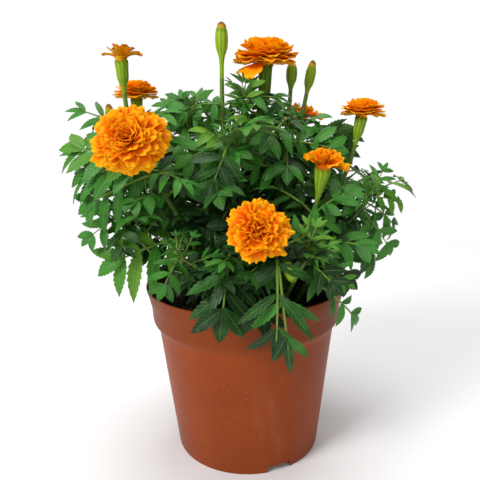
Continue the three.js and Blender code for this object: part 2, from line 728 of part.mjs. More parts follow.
function addPiece(name, solid, look) {
  const mesh = new THREE.Mesh(geometryOf(solid), new THREE.MeshStandardMaterial(COLOURS[look]));
  mesh.name = name;
  plant.add(mesh);
}

addPiece('pot', pot, 'pot');
addPiece('soil', soil, 'soil');
for (const stem of stems) {
  addPiece(`stem_${stem.name}`, mainBody(stem.body), 'leaf');
  if (stem.petals) addPiece(`petals_${stem.name}`, stem.petals, 'petal');
  if (stem.tip) addPiece(`tip_${stem.name}`, stem.tip, 'petal');
}

export default plant;
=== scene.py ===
"""Looks of a french marigold in a small terracotta-coloured plastic pot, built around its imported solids.

The stems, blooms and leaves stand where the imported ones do. Places and sizes are in millimetres, in the
part's own frame (+Z up, the plant's front is -Y), and turn into metres when a mesh is made.
"""

import json
import logging
import math
from collections.abc import Iterator
from dataclasses import dataclass, field, replace
from enum import Enum
from itertools import chain

import bpy
import numpy as np
from mathutils import Matrix, Vector, noise

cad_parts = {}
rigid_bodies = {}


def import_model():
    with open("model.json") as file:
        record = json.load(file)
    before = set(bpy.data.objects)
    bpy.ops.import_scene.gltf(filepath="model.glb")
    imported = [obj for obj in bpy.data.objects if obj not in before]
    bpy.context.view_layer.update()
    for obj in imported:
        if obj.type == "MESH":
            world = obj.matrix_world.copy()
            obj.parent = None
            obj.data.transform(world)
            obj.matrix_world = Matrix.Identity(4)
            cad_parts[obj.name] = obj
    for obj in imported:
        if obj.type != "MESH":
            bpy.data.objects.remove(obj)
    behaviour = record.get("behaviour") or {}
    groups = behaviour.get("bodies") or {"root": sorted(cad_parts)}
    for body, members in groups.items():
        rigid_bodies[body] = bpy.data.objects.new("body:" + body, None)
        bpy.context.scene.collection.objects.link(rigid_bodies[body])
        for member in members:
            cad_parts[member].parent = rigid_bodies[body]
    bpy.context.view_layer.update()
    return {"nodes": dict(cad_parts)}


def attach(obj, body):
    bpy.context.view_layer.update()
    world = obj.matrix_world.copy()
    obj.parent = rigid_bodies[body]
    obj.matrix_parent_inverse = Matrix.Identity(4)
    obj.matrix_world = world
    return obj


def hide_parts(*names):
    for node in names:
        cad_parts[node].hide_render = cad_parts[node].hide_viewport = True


LOG = logging.getLogger("marigold")

MM = 0.001
UP = np.array([0.0, 0.0, 1.0])
SEED = 7
GOLDEN = math.radians(137.508)
EYE = np.array([-2.7, -311.0, 204.0])

POT_HEIGHT = 104.0
SOIL_TOP = 92.0
ROOT_DEPTH = 15.0
STEM_RADII = (1.9, 1.15)
STEM_STEPS = 26
HIDDEN_BLOOMS = ("back_bloom", "hidden_bloom")


def unit(vector: np.ndarray) -> np.ndarray:
    """Scales vectors, along the last axis, to length one."""
    return vector / np.linalg.norm(vector, axis=-1, keepdims=True)


def blend(start: float, end: float, share: np.ndarray | float) -> np.ndarray | float:
    """Goes in a straight line from start to end as share goes from 0 to 1."""
    return start + (end - start) * share


def turned(vector: np.ndarray, axis: np.ndarray, degrees: float) -> np.ndarray:
    """Turns a vector about an axis.

    Args:
        vector: The vector, or vectors along the last axis.
        axis: The unit axis.
        degrees: The angle, right-handed.

    Returns:
        The turned vector.
    """
    angle = math.radians(degrees)
    along = np.sum(vector * axis, axis=-1, keepdims=True) * axis
    return along + (vector - along) * math.cos(angle) + np.cross(axis, vector) * math.sin(angle)


def direction(turn: float, lift: float) -> np.ndarray:
    """Gives the unit vector at an azimuth and at a height angle, both in radians."""
    return np.array([math.cos(lift) * math.cos(turn), math.cos(lift) * math.sin(turn), math.sin(lift)])


def angles_round(count: int) -> np.ndarray:
    """Gives the angles of even steps once round, in radians."""
    return np.arange(count) * 2 * math.pi / count


def circle(count: int) -> np.ndarray:
    """Gives the corners of a circle of radius one, as x and y rows."""
    angles = angles_round(count)
    return np.stack([np.cos(angles), np.sin(angles)], axis=-1)


def linked(name: str, data: bpy.types.ID) -> bpy.types.Object:
    """Makes an object from its data and links it to the scene."""
    made = bpy.data.objects.new(name, data)
    bpy.context.scene.collection.objects.link(made)
    return made


@dataclass(frozen=True)
class Leaf:
    """One leaf: its place on its stem, its blade's end, its droop in degrees and its leaflets' form.

    Breadth and spread widen its leaflets and lengthen them; youth makes them brighter.
    """

    at: float
    tip: tuple[float, float, float]
    droop: float = 48.0
    breadth: float = 1.0
    spread: float = 1.0
    youth: float = 0.0


@dataclass(frozen=True)
class Cup:
    """The green cup under a bloom: its length, how light it is, and its radius at shares of its length."""

    length: float
    tint: float
    outside: tuple[tuple[float, float], ...]


CONE = Cup(17, 0.5, (
    (0, 1.25), (0.15, 1.6), (0.3, 2.3), (0.5, 3.2), (0.7, 3.9), (0.88, 4.3), (0.96, 4.5), (1, 4.35)))
BARREL = Cup(27, -0.5, (
    (0, 1.3), (0.07, 2.0), (0.16, 2.9), (0.35, 3.6), (0.6, 3.8), (0.9, 3.9), (0.97, 4.2), (1, 4.1)))
BELL = Cup(17, 0.45, (
    (0, 1.3), (0.18, 1.5), (0.26, 1.9), (0.35, 2.7), (0.45, 3.2), (0.7, 3.4), (0.95, 3.7), (1, 3.6)))


@dataclass(frozen=True)
class Whorl:
    """Petals of one kind of bloom; a pair of values is for its outermost and its innermost petals.

    The petals stand on a small core, whose height is a share of the crown, and end on a dome that reaches
    so far to the sides and so far up. The dome's shoulders are fuller than an ellipsoid's where shoulder is
    above 2. Where crowding is above 1, more of them are outer petals. The heart's small petals close the
    bloom's middle.
    """

    petals: int
    crowding: float
    core: tuple[float, float]
    reach: float
    crown: float
    start: tuple[float, float]
    curl: tuple[float, float]
    width: tuple[float, float]
    ruffle: float
    scoop: float
    cup: Cup
    shoulder: float = 2.0
    heart: int = 0


class Bloom(Enum):
    """The kinds of bloom on the plant."""

    DOUBLE = Whorl(116, 1.3, (5.9, 0.5), 19.6, 13.8, (4, 88), (50, 34), (9.4, 7.6), 1.2, 0.3, CONE, 2.0, 10)
    DOME = Whorl(80, 1.25, (5.9, 0.5), 20.0, 15.6, (10, 88), (29, 8), (16, 11), 1.1, 0.1, BARREL, 2.5)
    ROUND = Whorl(54, 1.15, (5.1, 0.5), 16.4, 10.6, (6, 86), (46, 24), (12, 9), 3.0, 0.2, CONE)
    FLAT = Whorl(58, 1.25, (4.3, 0.5), 14.2, 11.0, (11, 86), (29, 8), (13.5, 9.5), 0.8, 0.1, BELL, 2.5)
    OPEN = Whorl(24, 1.0, (3.6, 0.28), 14.4, 10.4, (24, 84), (34, 24), (10, 8), 2.5, 0.25, CONE)
    THIN = Whorl(10, 0.9, (3.5, 0.28), 12.4, 8.8, (34, 84), (70, 14), (8.5, 5), 1.1, 0.5, BELL)


@dataclass(frozen=True)
class Hull:
    """A green bud: its radius, its length, the neck below it and the length of its coloured tip."""

    radius: float
    length: float
    neck: float
    tip: float


class Bud(Enum):
    """The kinds of bud on the plant."""

    TALL = Hull(3.4, 13.0, 13.0, 4.0)
    ORANGE = Hull(2.9, 11.5, 4.0, 4.5)
    GREEN = Hull(3.1, 12.0, 3.0, 0.0)


@dataclass(frozen=True)
class Stem:
    """One stem from its place in the compost to the head or shoot that it carries.

    Its tuft is the tips of young leaves at its end, loose gives the azimuths of petals that hang down, and
    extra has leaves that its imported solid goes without. Its bloom may face another way than its cup, and
    be squashed from above and below.
    """

    name: str
    root: tuple[float, float]
    head: tuple[float, float, float]
    aim: tuple[float, float, float]
    bloom: Bloom | None = None
    bud: Bud | None = None
    size: float = 1.0
    leaves: tuple[Leaf, ...] = ()
    fan: int = 0
    youth: float = 0.0
    fillers: int = 5
    sprigs: int = 7
    tuft: tuple[tuple[float, float, float], ...] = ()
    loose: tuple[float, ...] = ()
    extra: tuple[Leaf, ...] = ()
    face: tuple[float, float, float] | None = None
    squash: float = 1.0


STEMS = (
    Stem("left_bloom", (-14, -10), (-51.5, -37, 180), (-0.2, -0.74, 0.64), bloom=Bloom.DOUBLE, size=1.04,
        face=(0.04, -0.93, 0.33), squash=0.85, leaves=(
        Leaf(0.94, (-95, -30, 168)), Leaf(0.5, (-82, -40, 121), 48, 0.95, 1, 0.4),
        Leaf(0.44, (-28, -42, 113))), extra=(
        Leaf(0.96, (-98, -28, 187), 40, 1.15), Leaf(0.9, (-90, -36, 153), 40))),
    Stem("front_bloom", (1, -17), (6, -50, 136), (0, -0.71, 0.71), bloom=Bloom.ROUND,
        face=(0.08, -0.92, 0.38), squash=0.94, leaves=(
        Leaf(0.6, (9, -74, 97), 80),)),
    Stem("top_bloom", (4, 4), (12.5, 10.5, 203), (0.06, -0.04, 1), bloom=Bloom.DOME, size=0.94, leaves=(
        Leaf(0.94, (22, -14, 203)),), loose=(196, 216, 238)),
    Stem("starry_bloom", (-19, -1), (-64, -10, 215), (-0.03, 0, 1), bloom=Bloom.THIN, leaves=(
        Leaf(0.84, (-98, -12, 208), 48, 0.62, 0.85), Leaf(0.72, (-50, -34, 152)),
        Leaf(0.34, (-38, -34, 105)))),
    Stem("rear_left_bloom", (-15, 9), (-64, 25, 196), (0, 0, 1), bloom=Bloom.FLAT),
    Stem("right_bloom", (18, 4), (67, 10, 183), (0.2, 0, 0.98), bloom=Bloom.FLAT, size=0.95,
        face=(0.03, -0.02, 1), leaves=(
        Leaf(0.86, (81, 28, 162)), Leaf(0.78, (66, -18, 156)), Leaf(0.64, (61, -20, 127)))),
    Stem("opening_bloom", (13, -9), (39, -30, 157.5), (0.16, -0.05, 0.98), bloom=Bloom.OPEN, leaves=(
        Leaf(0.68, (62, -34, 107)), Leaf(0.62, (55, -40, 139)))),
    Stem("hidden_bloom", (13, 12), (37, 38, 181), (0.05, 0, 1), bloom=Bloom.OPEN, size=0.95),
    Stem("back_bloom", (-3, 17), (-12, 52, 153), (0, 0.5, 0.86), bloom=Bloom.ROUND, size=0.9),
    Stem("tall_bud", (-6, 6), (-11, 0, 222), (0.02, 0, 1), bud=Bud.TALL, leaves=(
        Leaf(0.84, (-43, -8, 199)), Leaf(0.8, (-26, 6, 217)))),
    Stem("dark_bud", (7, 12), (30, 25, 216), (0.06, 0, 1), bud=Bud.GREEN, size=1.05),
    Stem("orange_bud", (19, 11), (39, 20, 213), (0.2, 0, 0.98), bud=Bud.ORANGE, leaves=(
        Leaf(0.84, (46, -6, 200)), Leaf(0.8, (75, 8, 186)), Leaf(0.74, (76, 14, 175)))),
    Stem("left_bud", (-23, 4), (-76, 10, 190), (-0.1, 0, 1), bud=Bud.ORANGE, leaves=(
        Leaf(0.94, (-102, 2, 189), 48, 0.7, 0.9), Leaf(0.78, (-101, -16, 185), 48, 0.8, 0.9))),
    Stem("right_bud", (24, 2), (62, -5, 132), (0.1, 0, 1), bud=Bud.GREEN, size=0.85),
    Stem("nodding_bud", (8, -23), (19, -58, 134), (0.3, -0.45, -0.84), bud=Bud.GREEN, size=0.9, leaves=(
        Leaf(0.8, (12.5, -80, 85), 70, 0.5, 0.95, 0.1),), extra=(
        Leaf(0.8, (20.5, -79.3, 79.5), 70, 0.5, 0.7),)),
    Stem("back_left_bud", (-11, 17), (-42, 52, 170), (-0.2, 0.3, 0.93), bud=Bud.ORANGE, fan=1),
    Stem("back_right_bud", (8, 20), (40, 55, 164), (0.2, 0.3, 0.93), bud=Bud.GREEN, fan=1),
    Stem("shoot_left", (-25, -6), (-70, -20, 150), (-0.5, -0.1, 0.86), leaves=(
        Leaf(0.98, (-88, -37, 136)), Leaf(0.94, (-64, -44, 129)))),
    Stem("shoot_front_left", (-11, -20), (-34, -56, 136), (-0.3, -0.4, 0.86), leaves=(
        Leaf(0.97, (-42, -76, 118)), Leaf(0.75, (-14, -66, 120)))),
    Stem("shoot_front", (-4, -25), (-8, -44, 134), (0, -0.4, 0.92), leaves=(
        Leaf(0.98, (-8, -80, 97), 70),)),
    Stem("shoot_front_right", (16, -17), (31, -53, 133), (0.3, -0.4, 0.86), sprigs=4, leaves=(
        Leaf(0.82, (62, -42, 88), 80, 0.55, 0.6), Leaf(0.96, (46, -74, 118))), tuft=(
        (38.5, -50, 153), (34, -44, 154), (27.5, -50, 150), (43, -52, 147), (48, -56, 141), (46, -60, 137),
        (41, -64, 132), (55, -62, 117))),
    Stem("shoot_right", (26, -6), (72, -10, 156), (0.5, 0, 0.86), leaves=(
        Leaf(1, (101, 12, 161), youth=0.5), Leaf(0.95, (92, 0, 131)), Leaf(0.82, (77, -2, 106))), fillers=2,
        extra=(
        Leaf(0.99, (95, -4, 149), 40), Leaf(0.9, (88, -8, 118), 40), Leaf(1, (84, -2, 174), 40, 0.8))),
    Stem("shoot_back_right", (22, 17), (58, 45, 148), (0.4, 0.3, 0.86), fan=2),
    Stem("shoot_back", (0, 26), (4, 58, 142), (0, 0.5, 0.86), leaves=(
        Leaf(0.97, (-16, 81, 128)), Leaf(0.6, (30, 70, 112)))),
    Stem("shoot_back_left", (-21, 15), (-60, 46, 150), (-0.4, 0.3, 0.86), fan=2),
    Stem("shoot_centre", (-4, -8), (-6, -22, 192), (0, -0.2, 0.98), leaves=(
        Leaf(1, (-20, -48, 158)), Leaf(0.95, (-37, -40, 177)), Leaf(0.68, (0, -38, 175)),
        Leaf(0.66, (-22, -40, 134)))),
    Stem("shoot_upper_right", (7, -9), (27, -2, 200), (0.1, 0, 1), leaves=(
        Leaf(1, (-2, -30, 183)), Leaf(0.85, (22, -42, 168)))),
    Stem("shoot_upper_left", (-11, -2), (-30, -8, 190), (-0.2, -0.1, 0.98), leaves=(
        Leaf(1, (-38, 12, 216)), Leaf(0.85, (-34, -42, 165))), extra=(
        Leaf(0.98, (-35, 0, 219), 40, 0.8), Leaf(1, (-47, 3, 214), 40, 0.8),
        Leaf(0.99, (-22, 0, 219), 40, 0.7), Leaf(0.97, (-30, -14, 214), 40, 0.8))),
    Stem("shoot_top", (1, -3), (1, -3, 204), (0.05, 0, 1), youth=0.35, leaves=(
        Leaf(0.97, (10, -4, 224), 48, 0.75), Leaf(1, (-9, -10, 222), 48, 0.75)), extra=(
        Leaf(0.99, (-2, -8, 226), 40, 0.7), Leaf(0.98, (3, 4, 227), 40, 0.7))),
)


@dataclass
class Section:
    """A place along a curve: its centre, the way the curve runs there and two directions across it."""

    centre: np.ndarray
    along: np.ndarray
    across: np.ndarray
    beside: np.ndarray

    def moved(self, distance: float) -> "Section":
        """Gives the same section so far along."""
        return replace(self, centre=self.centre + self.along * distance)


class Axis:
    """The curve down the middle of a stem."""

    LEAN = 0.35
    RISE = 0.38
    ARRIVAL = 0.34

    def __init__(self, stem: Stem) -> None:
        """Lays the curve from the stem's root to its head.

        Args:
            stem: The stem whose curve this is.
        """
        start = np.array([*stem.root, SOIL_TOP - ROOT_DEPTH], float)
        end = np.array(stem.head, float)
        span = float(np.linalg.norm(end - start))
        rise = start + np.array([*stem.root, 0.0]) * self.LEAN + UP * self.RISE * span
        arrive = end - unit(np.array(stem.aim, float)) * self.ARRIVAL * span
        self.controls = (start, rise, arrive, end)

    def point(self, t: float) -> np.ndarray:
        """Gives the point at share t of the curve's own parameter."""
        a, b, c, d = self.controls
        s = 1 - t
        return a * s**3 + b * 3 * s * s * t + c * 3 * s * t * t + d * t**3

    def tangent(self, t: float) -> np.ndarray:
        """Gives the way the curve runs at share t."""
        a, b, c, d = self.controls
        s = 1 - t
        return unit((b - a) * s * s + (c - b) * 2 * s * t + (d - c) * t * t)

    def sections(self) -> list[Section]:
        """Gives evenly spaced sections to the head, each carried over from the one before without twist."""
        sections = []
        across = np.array([1.0, 0.0, 0.0])
        for t in np.linspace(0, 1, STEM_STEPS + 1):
            along = self.tangent(t)
            across = unit(across - along * (across @ along))
            sections.append(Section(self.point(t), along, across, np.cross(along, across)))
        return sections

    def end(self) -> Section:
        """Gives the section at the head."""
        return self.sections()[-1]


class Blade:
    """The arched surface that a leaf lies in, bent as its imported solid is."""

    THICKNESS = 0.62
    SAG = 0.01
    FACE = 46.0
    FACE_WHEN_HANGING = 34.0
    FRONT_LIMIT = 20.0
    BENDS = (
        (0, 0), (9, 0), (-9, 0), (0, 9), (0, -9), (18, 0), (-18, 0), (0, 18), (0, -18),
        (13, 13), (-13, 13), (13, -13), (-13, -13), (28, 0), (-28, 0), (0, 28), (0, -28),
    )
    SHRINKS = (1.0, 0.86, 0.72)
    MATCH = 0.1

    def __init__(self, base: np.ndarray, tip: np.ndarray, droop: float, roll: float = 0.0) -> None:
        """Works out the arch from a leaf's two ends.

        Args:
            base: Where the leaf leaves its stem.
            tip: Where its blade ends.
            droop: The angle that the blade turns through from base to tip.
            roll: How far it is turned about the line between its ends, in degrees.
        """
        ahead = unit(tip - base)
        across = unit(np.cross(UP, ahead))
        front = -1 if (base[1] + tip[1]) / 2 < self.FRONT_LIMIT else 1
        outward = -across if across[1] * front < 0 else across
        hang = max(0.0, -ahead[2])
        lean = math.radians(self.FACE + self.FACE_WHEN_HANGING * hang) * abs(across[1])
        normal = turned(np.cross(ahead, across) * math.cos(lean) + outward * math.sin(lean), ahead, roll)
        half = math.radians(droop) / 2
        self.base = base
        self.tip = tip
        self.length = float(np.linalg.norm(tip - base)) * half / math.sin(half)
        self.radius = self.length / (2 * half)
        self.along = ahead * math.cos(half) + normal * math.sin(half)
        self.normal = normal * math.cos(half) - ahead * math.sin(half)
        self.side = np.cross(normal, ahead)

    def at(self, s: np.ndarray, t: np.ndarray, h: np.ndarray) -> np.ndarray:
        """Places points of the blade.

        Args:
            s: Distances along the rib.
            t: Distances to the left of it.
            h: Heights above the blade.

        Returns:
            Points in the part's frame, along a last axis of three.
        """
        turn = s / self.radius
        reach = self.radius + h - self.SAG * t * t
        return (
            self.base
            + (reach * np.sin(turn))[..., None] * self.along
            + (reach * np.cos(turn) - self.radius)[..., None] * self.normal
            + t[..., None] * self.side
        )

    @classmethod
    def bent(cls, base: np.ndarray, leaf: Leaf, bend: tuple[float, float], shrink: float) -> "Blade":
        """Makes the blade of a leaf that is swung, lifted and shortened about its base.

        Args:
            base: Where the leaf leaves its stem.
            leaf: The leaf as planned.
            bend: Its swing and its lift, in degrees.
            shrink: Its share of full length.

        Returns:
            The bent blade.
        """
        reach = turned(np.array(leaf.tip, float) - base, UP, bend[0])
        hinge = unit(np.cross(reach, UP))
        return cls(base, base + turned(reach, hinge, bend[1]) * shrink, leaf.droop)

    @classmethod
    def packed(cls, base: np.ndarray, leaf: Leaf, corners: np.ndarray) -> "Blade | None":
        """Finds the bend that a leaf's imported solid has.

        Args:
            base: Where the leaf leaves its stem.
            leaf: The leaf as planned.
            corners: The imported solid's corners.

        Returns:
            The blade whose tip is a corner of the solid, or None where the solid has no such leaf.
        """
        for shrink in cls.SHRINKS:
            for bend in cls.BENDS:
                blade = cls.bent(base, leaf, bend, shrink)
                tip = blade.at(np.array(blade.length), np.array(0.0), np.array(cls.THICKNESS / 2))
                if np.min(np.linalg.norm(corners - tip, axis=1)) < cls.MATCH:
                    return blade
        return None


class Mould:
    """The points, faces and shading values of one piece, gathered before they become a mesh."""

    def __init__(self) -> None:
        """Starts an empty mould."""
        self.points: list[np.ndarray] = []
        self.quads: list[np.ndarray] = []
        self.fans: list[np.ndarray] = []
        self.looks: list[np.ndarray] = []
        self.fan_looks: list[np.ndarray] = []
        self.values: dict[str, list[np.ndarray]] = {"along": [], "across": [], "tint": []}
        self.count = 0

    def add(self, points: np.ndarray, quads: np.ndarray, look: int | np.ndarray, along: np.ndarray,
            across: np.ndarray, tint: np.ndarray | float, fans: np.ndarray | None = None) -> None:
        """Adds points with their faces.

        Args:
            points: Points, any shape with a last axis of three.
            quads: Four corners a face, counted from the first of these points.
            look: The material's number, or one a quad.
            along: Shading value from a root to a tip, one a point.
            across: Shading value from one edge to the other, one a point.
            tint: Shading value for light and dark, one for all points or one each.
            fans: Three corners a face, for ends.
        """
        flat = points.reshape(-1, 3)
        self.points.append(flat)
        self.quads.append(quads.reshape(-1, 4) + self.count)
        self.looks.append(np.broadcast_to(look, (quads.size // 4,)))
        if fans is not None:
            self.fans.append(fans + self.count)
            self.fan_looks.append(np.full(len(fans), np.ravel(look)[0]))
        for name, value in (("along", along), ("across", across), ("tint", tint)):
            self.values[name].append(np.broadcast_to(value, points.shape[:-1]).reshape(-1))
        self.count += len(flat)

    def add_rings(self, rings: np.ndarray, ends: np.ndarray, look: int, along: np.ndarray | float,
                  across: np.ndarray | float, tint: float, inside_out: bool = False) -> None:
        """Adds a closed skin through rings of corners, with one point in the middle of each end.

        Args:
            rings: The corners: rings, sides and three.
            ends: The two end points.
            look: The material's number.
            along: Shading value, for all points or one each, with the ends' last.
            across: Shading value, in the same way.
            tint: Shading value for light and dark.
            inside_out: Whether the rings run the other way, so that the faces have to be turned over.
        """
        count, sides = rings.shape[:2]
        ring, here = np.arange(count - 1)[:, None] * sides, np.arange(sides)
        beyond = (here + 1) % sides
        quads = np.stack([ring + here, ring + beyond, ring + beyond + sides, ring + here + sides], axis=-1)
        middle, last = np.full(sides, count * sides), (count - 1) * sides
        fans = np.concatenate([
            np.stack([middle, beyond, here], axis=-1),
            np.stack([middle + 1, here + last, beyond + last], axis=-1),
        ])
        if inside_out:
            quads, fans = quads[..., [0, 3, 2, 1]], fans[:, [0, 2, 1]]
        self.add(np.concatenate([rings.reshape(-1, 3), ends]), quads, look, along, across, tint, fans)

    def add_tube(self, sections: list[Section], radii: np.ndarray, look: int, tint: float,
                 along: np.ndarray | None = None, shift: np.ndarray | float = 0.0) -> None:
        """Adds a closed tube through sections.

        Args:
            sections: Where its rings stand.
            radii: The rings' radii, one row a ring and one column a side.
            look: The material's number.
            tint: Shading value for light and dark.
            along: Shading value of each ring; evenly spread if left out.
            shift: How far each ring's corners move along the tube.
        """
        rings, sides = radii.shape
        angles = angles_round(sides)
        centres, run, across, beside = (
            np.array([getattr(section, name) for section in sections])
            for name in ("centre", "along", "across", "beside")
        )
        points = (
            centres[:, None]
            + run[:, None] * (shift * np.ones(radii.shape))[..., None]
            + across[:, None] * (radii * np.cos(angles))[..., None]
            + beside[:, None] * (radii * np.sin(angles))[..., None]
        )
        steps = np.linspace(0, 1, rings) if along is None else along
        down = np.concatenate([np.repeat(steps, sides), steps[:1], steps[-1:]])
        round_it = np.concatenate([np.tile(np.arange(sides) / sides, rings), [0, 0]])
        self.add_rings(points, centres[[0, -1]], look, down, round_it, tint)

    def add_sheets(self, points: np.ndarray, thickness: float, looks: tuple[int, int],
                   along: np.ndarray, across: np.ndarray, tint: np.ndarray | float) -> None:
        """Adds closed thin shells, thickest in their middle, whose top and underside share their edges.

        Args:
            points: Middle surface of each sheet: sheets, rows, columns and three.
            thickness: Thickness in the middle.
            looks: The material numbers of the top and of the underside.
            along: Shading value, one a point of a sheet.
            across: Shading value, one a point of a sheet.
            tint: Shading value for light and dark, one for all or one a point of every sheet.
        """
        sheets, rows, columns = points.shape[:3]
        normals = unit(np.cross(np.gradient(points, axis=1), np.gradient(points, axis=2)))
        edge = np.ones((rows, columns), bool)
        edge[1:-1, 1:-1] = False
        bulge = np.where(edge, 0.0, thickness / 2)[..., None]
        top = np.arange(rows * columns).reshape(rows, columns)
        under = top.copy()
        under[~edge] = rows * columns + np.arange((~edge).sum())
        cells = np.stack([top[:-1, :-1], top[:-1, 1:], top[1:, 1:], top[1:, :-1]], axis=-1)
        below = np.stack([under[:-1, :-1], under[1:, :-1], under[1:, 1:], under[:-1, 1:]], axis=-1)
        cells, below = cells.reshape(-1, 4), below.reshape(-1, 4)
        upper = (points + normals * bulge).reshape(sheets, -1, 3)
        lower = (points - normals * bulge)[:, ~edge]
        every = np.concatenate([upper, lower], axis=1)
        size = every.shape[1]
        quads = np.concatenate([cells, below])[None] + (np.arange(sheets) * size)[:, None, None]
        look = np.tile(np.repeat(looks, len(cells)), sheets)

        def spread(value: np.ndarray | float) -> np.ndarray:
            """Gives a value of the middle surface to the points of both sides."""
            whole = np.broadcast_to(value, (sheets, rows, columns))
            return np.concatenate([whole.reshape(sheets, -1), whole[:, ~edge]], axis=1)

        self.add(every, quads, look, spread(along), spread(across), spread(tint))

    def build(self, name: str, materials: list[bpy.types.Material],
              sharp: float = 60.0) -> bpy.types.Object:
        """Makes the piece.

        Args:
            name: The piece's name.
            materials: Its materials, in the order of their numbers.
            sharp: The angle between faces, in degrees, above which an edge looks sharp.

        Returns:
            The new object, linked to the scene.
        """
        mesh = bpy.data.meshes.new(name)
        points = np.concatenate(self.points) * MM
        quads = np.concatenate(self.quads)
        fans = np.concatenate(self.fans) if self.fans else np.zeros((0, 3), int)
        corners = np.concatenate([quads.ravel(), fans.ravel()])
        sizes = np.concatenate([np.full(len(quads), 4), np.full(len(fans), 3)])
        mesh.vertices.add(len(points))
        mesh.vertices.foreach_set("co", points.ravel().astype(np.float32))
        mesh.loops.add(len(corners))
        mesh.loops.foreach_set("vertex_index", corners.astype(np.int32))
        mesh.polygons.add(len(sizes))
        mesh.polygons.foreach_set("loop_start", (np.cumsum(sizes) - sizes).astype(np.int32))
        mesh.polygons.foreach_set("loop_total", sizes.astype(np.int32))
        looks = np.concatenate([*self.looks, *self.fan_looks])
        mesh.polygons.foreach_set("material_index", looks.astype(np.int32))
        for label, parts in self.values.items():
            attribute = mesh.attributes.new(label, "FLOAT", "POINT")
            attribute.data.foreach_set("value", np.concatenate(parts).astype(np.float32))
        mesh.update(calc_edges=True)
        mesh.shade_smooth()
        mesh.set_sharp_from_angle(angle=math.radians(sharp))
        for material in materials:
            mesh.materials.append(material)
        return linked(name, mesh)


def mount(piece: bpy.types.Object, node: str) -> bpy.types.Object:
    """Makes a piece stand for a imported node.

    Args:
        piece: The finished piece.
        node: The node that it replaces.

    Returns:
        The same piece.
    """
    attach(piece, "root")
    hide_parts(node)
    return piece


def node_corners(node: bpy.types.Object) -> np.ndarray:
    """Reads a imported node's corners, in millimetres."""
    corners = np.zeros(len(node.data.vertices) * 3, np.float32)
    node.data.vertices.foreach_get("co", corners)
    return corners.reshape(-1, 3).astype(float) / MM


class Value:
    """A number that varies over a surface: Python arithmetic on it adds Math nodes."""

    def __init__(self, graph: "Graph", socket: bpy.types.NodeSocket) -> None:
        """Wraps an output socket of a material's graph."""
        self.graph = graph
        self.socket = socket

    def math(self, operation: str, *others: "Value | float") -> "Value":
        """Adds one Math node with this value first."""
        return self.graph.math(operation, self, *others)

    def __add__(self, other: "Value | float") -> "Value":
        """Adds."""
        return self.math("ADD", other)

    def __radd__(self, other: float) -> "Value":
        """Adds, reflected."""
        return self.graph.math("ADD", other, self)

    def __sub__(self, other: "Value | float") -> "Value":
        """Subtracts."""
        return self.math("SUBTRACT", other)

    def __rsub__(self, other: float) -> "Value":
        """Subtracts, reflected."""
        return self.graph.math("SUBTRACT", other, self)

    def __mul__(self, other: "Value | float") -> "Value":
        """Multiplies."""
        return self.math("MULTIPLY", other)

    def __rmul__(self, other: float) -> "Value":
        """Multiplies, reflected."""
        return self.graph.math("MULTIPLY", other, self)

    def __pow__(self, other: float) -> "Value":
        """Raises to a power."""
        return self.math("POWER", other)

    def size(self) -> "Value":
        """Drops the sign."""
        return self.math("ABSOLUTE")

    def wave(self) -> "Value":
        """Takes the sine."""
        return self.math("SINE")

    def step(self, low: float, high: float) -> "Value":
        """Goes smoothly from 0 at low to 1 at high, or the other way where low is above high."""
        node = self.graph.node(
            "ShaderNodeMapRange",
            {"interpolation_type": "SMOOTHSTEP"},
            {"Value": self, "From Min": low, "From Max": high, "To Min": 0.0, "To Max": 1.0},
        )
        return Value(self.graph, node.outputs["Result"])


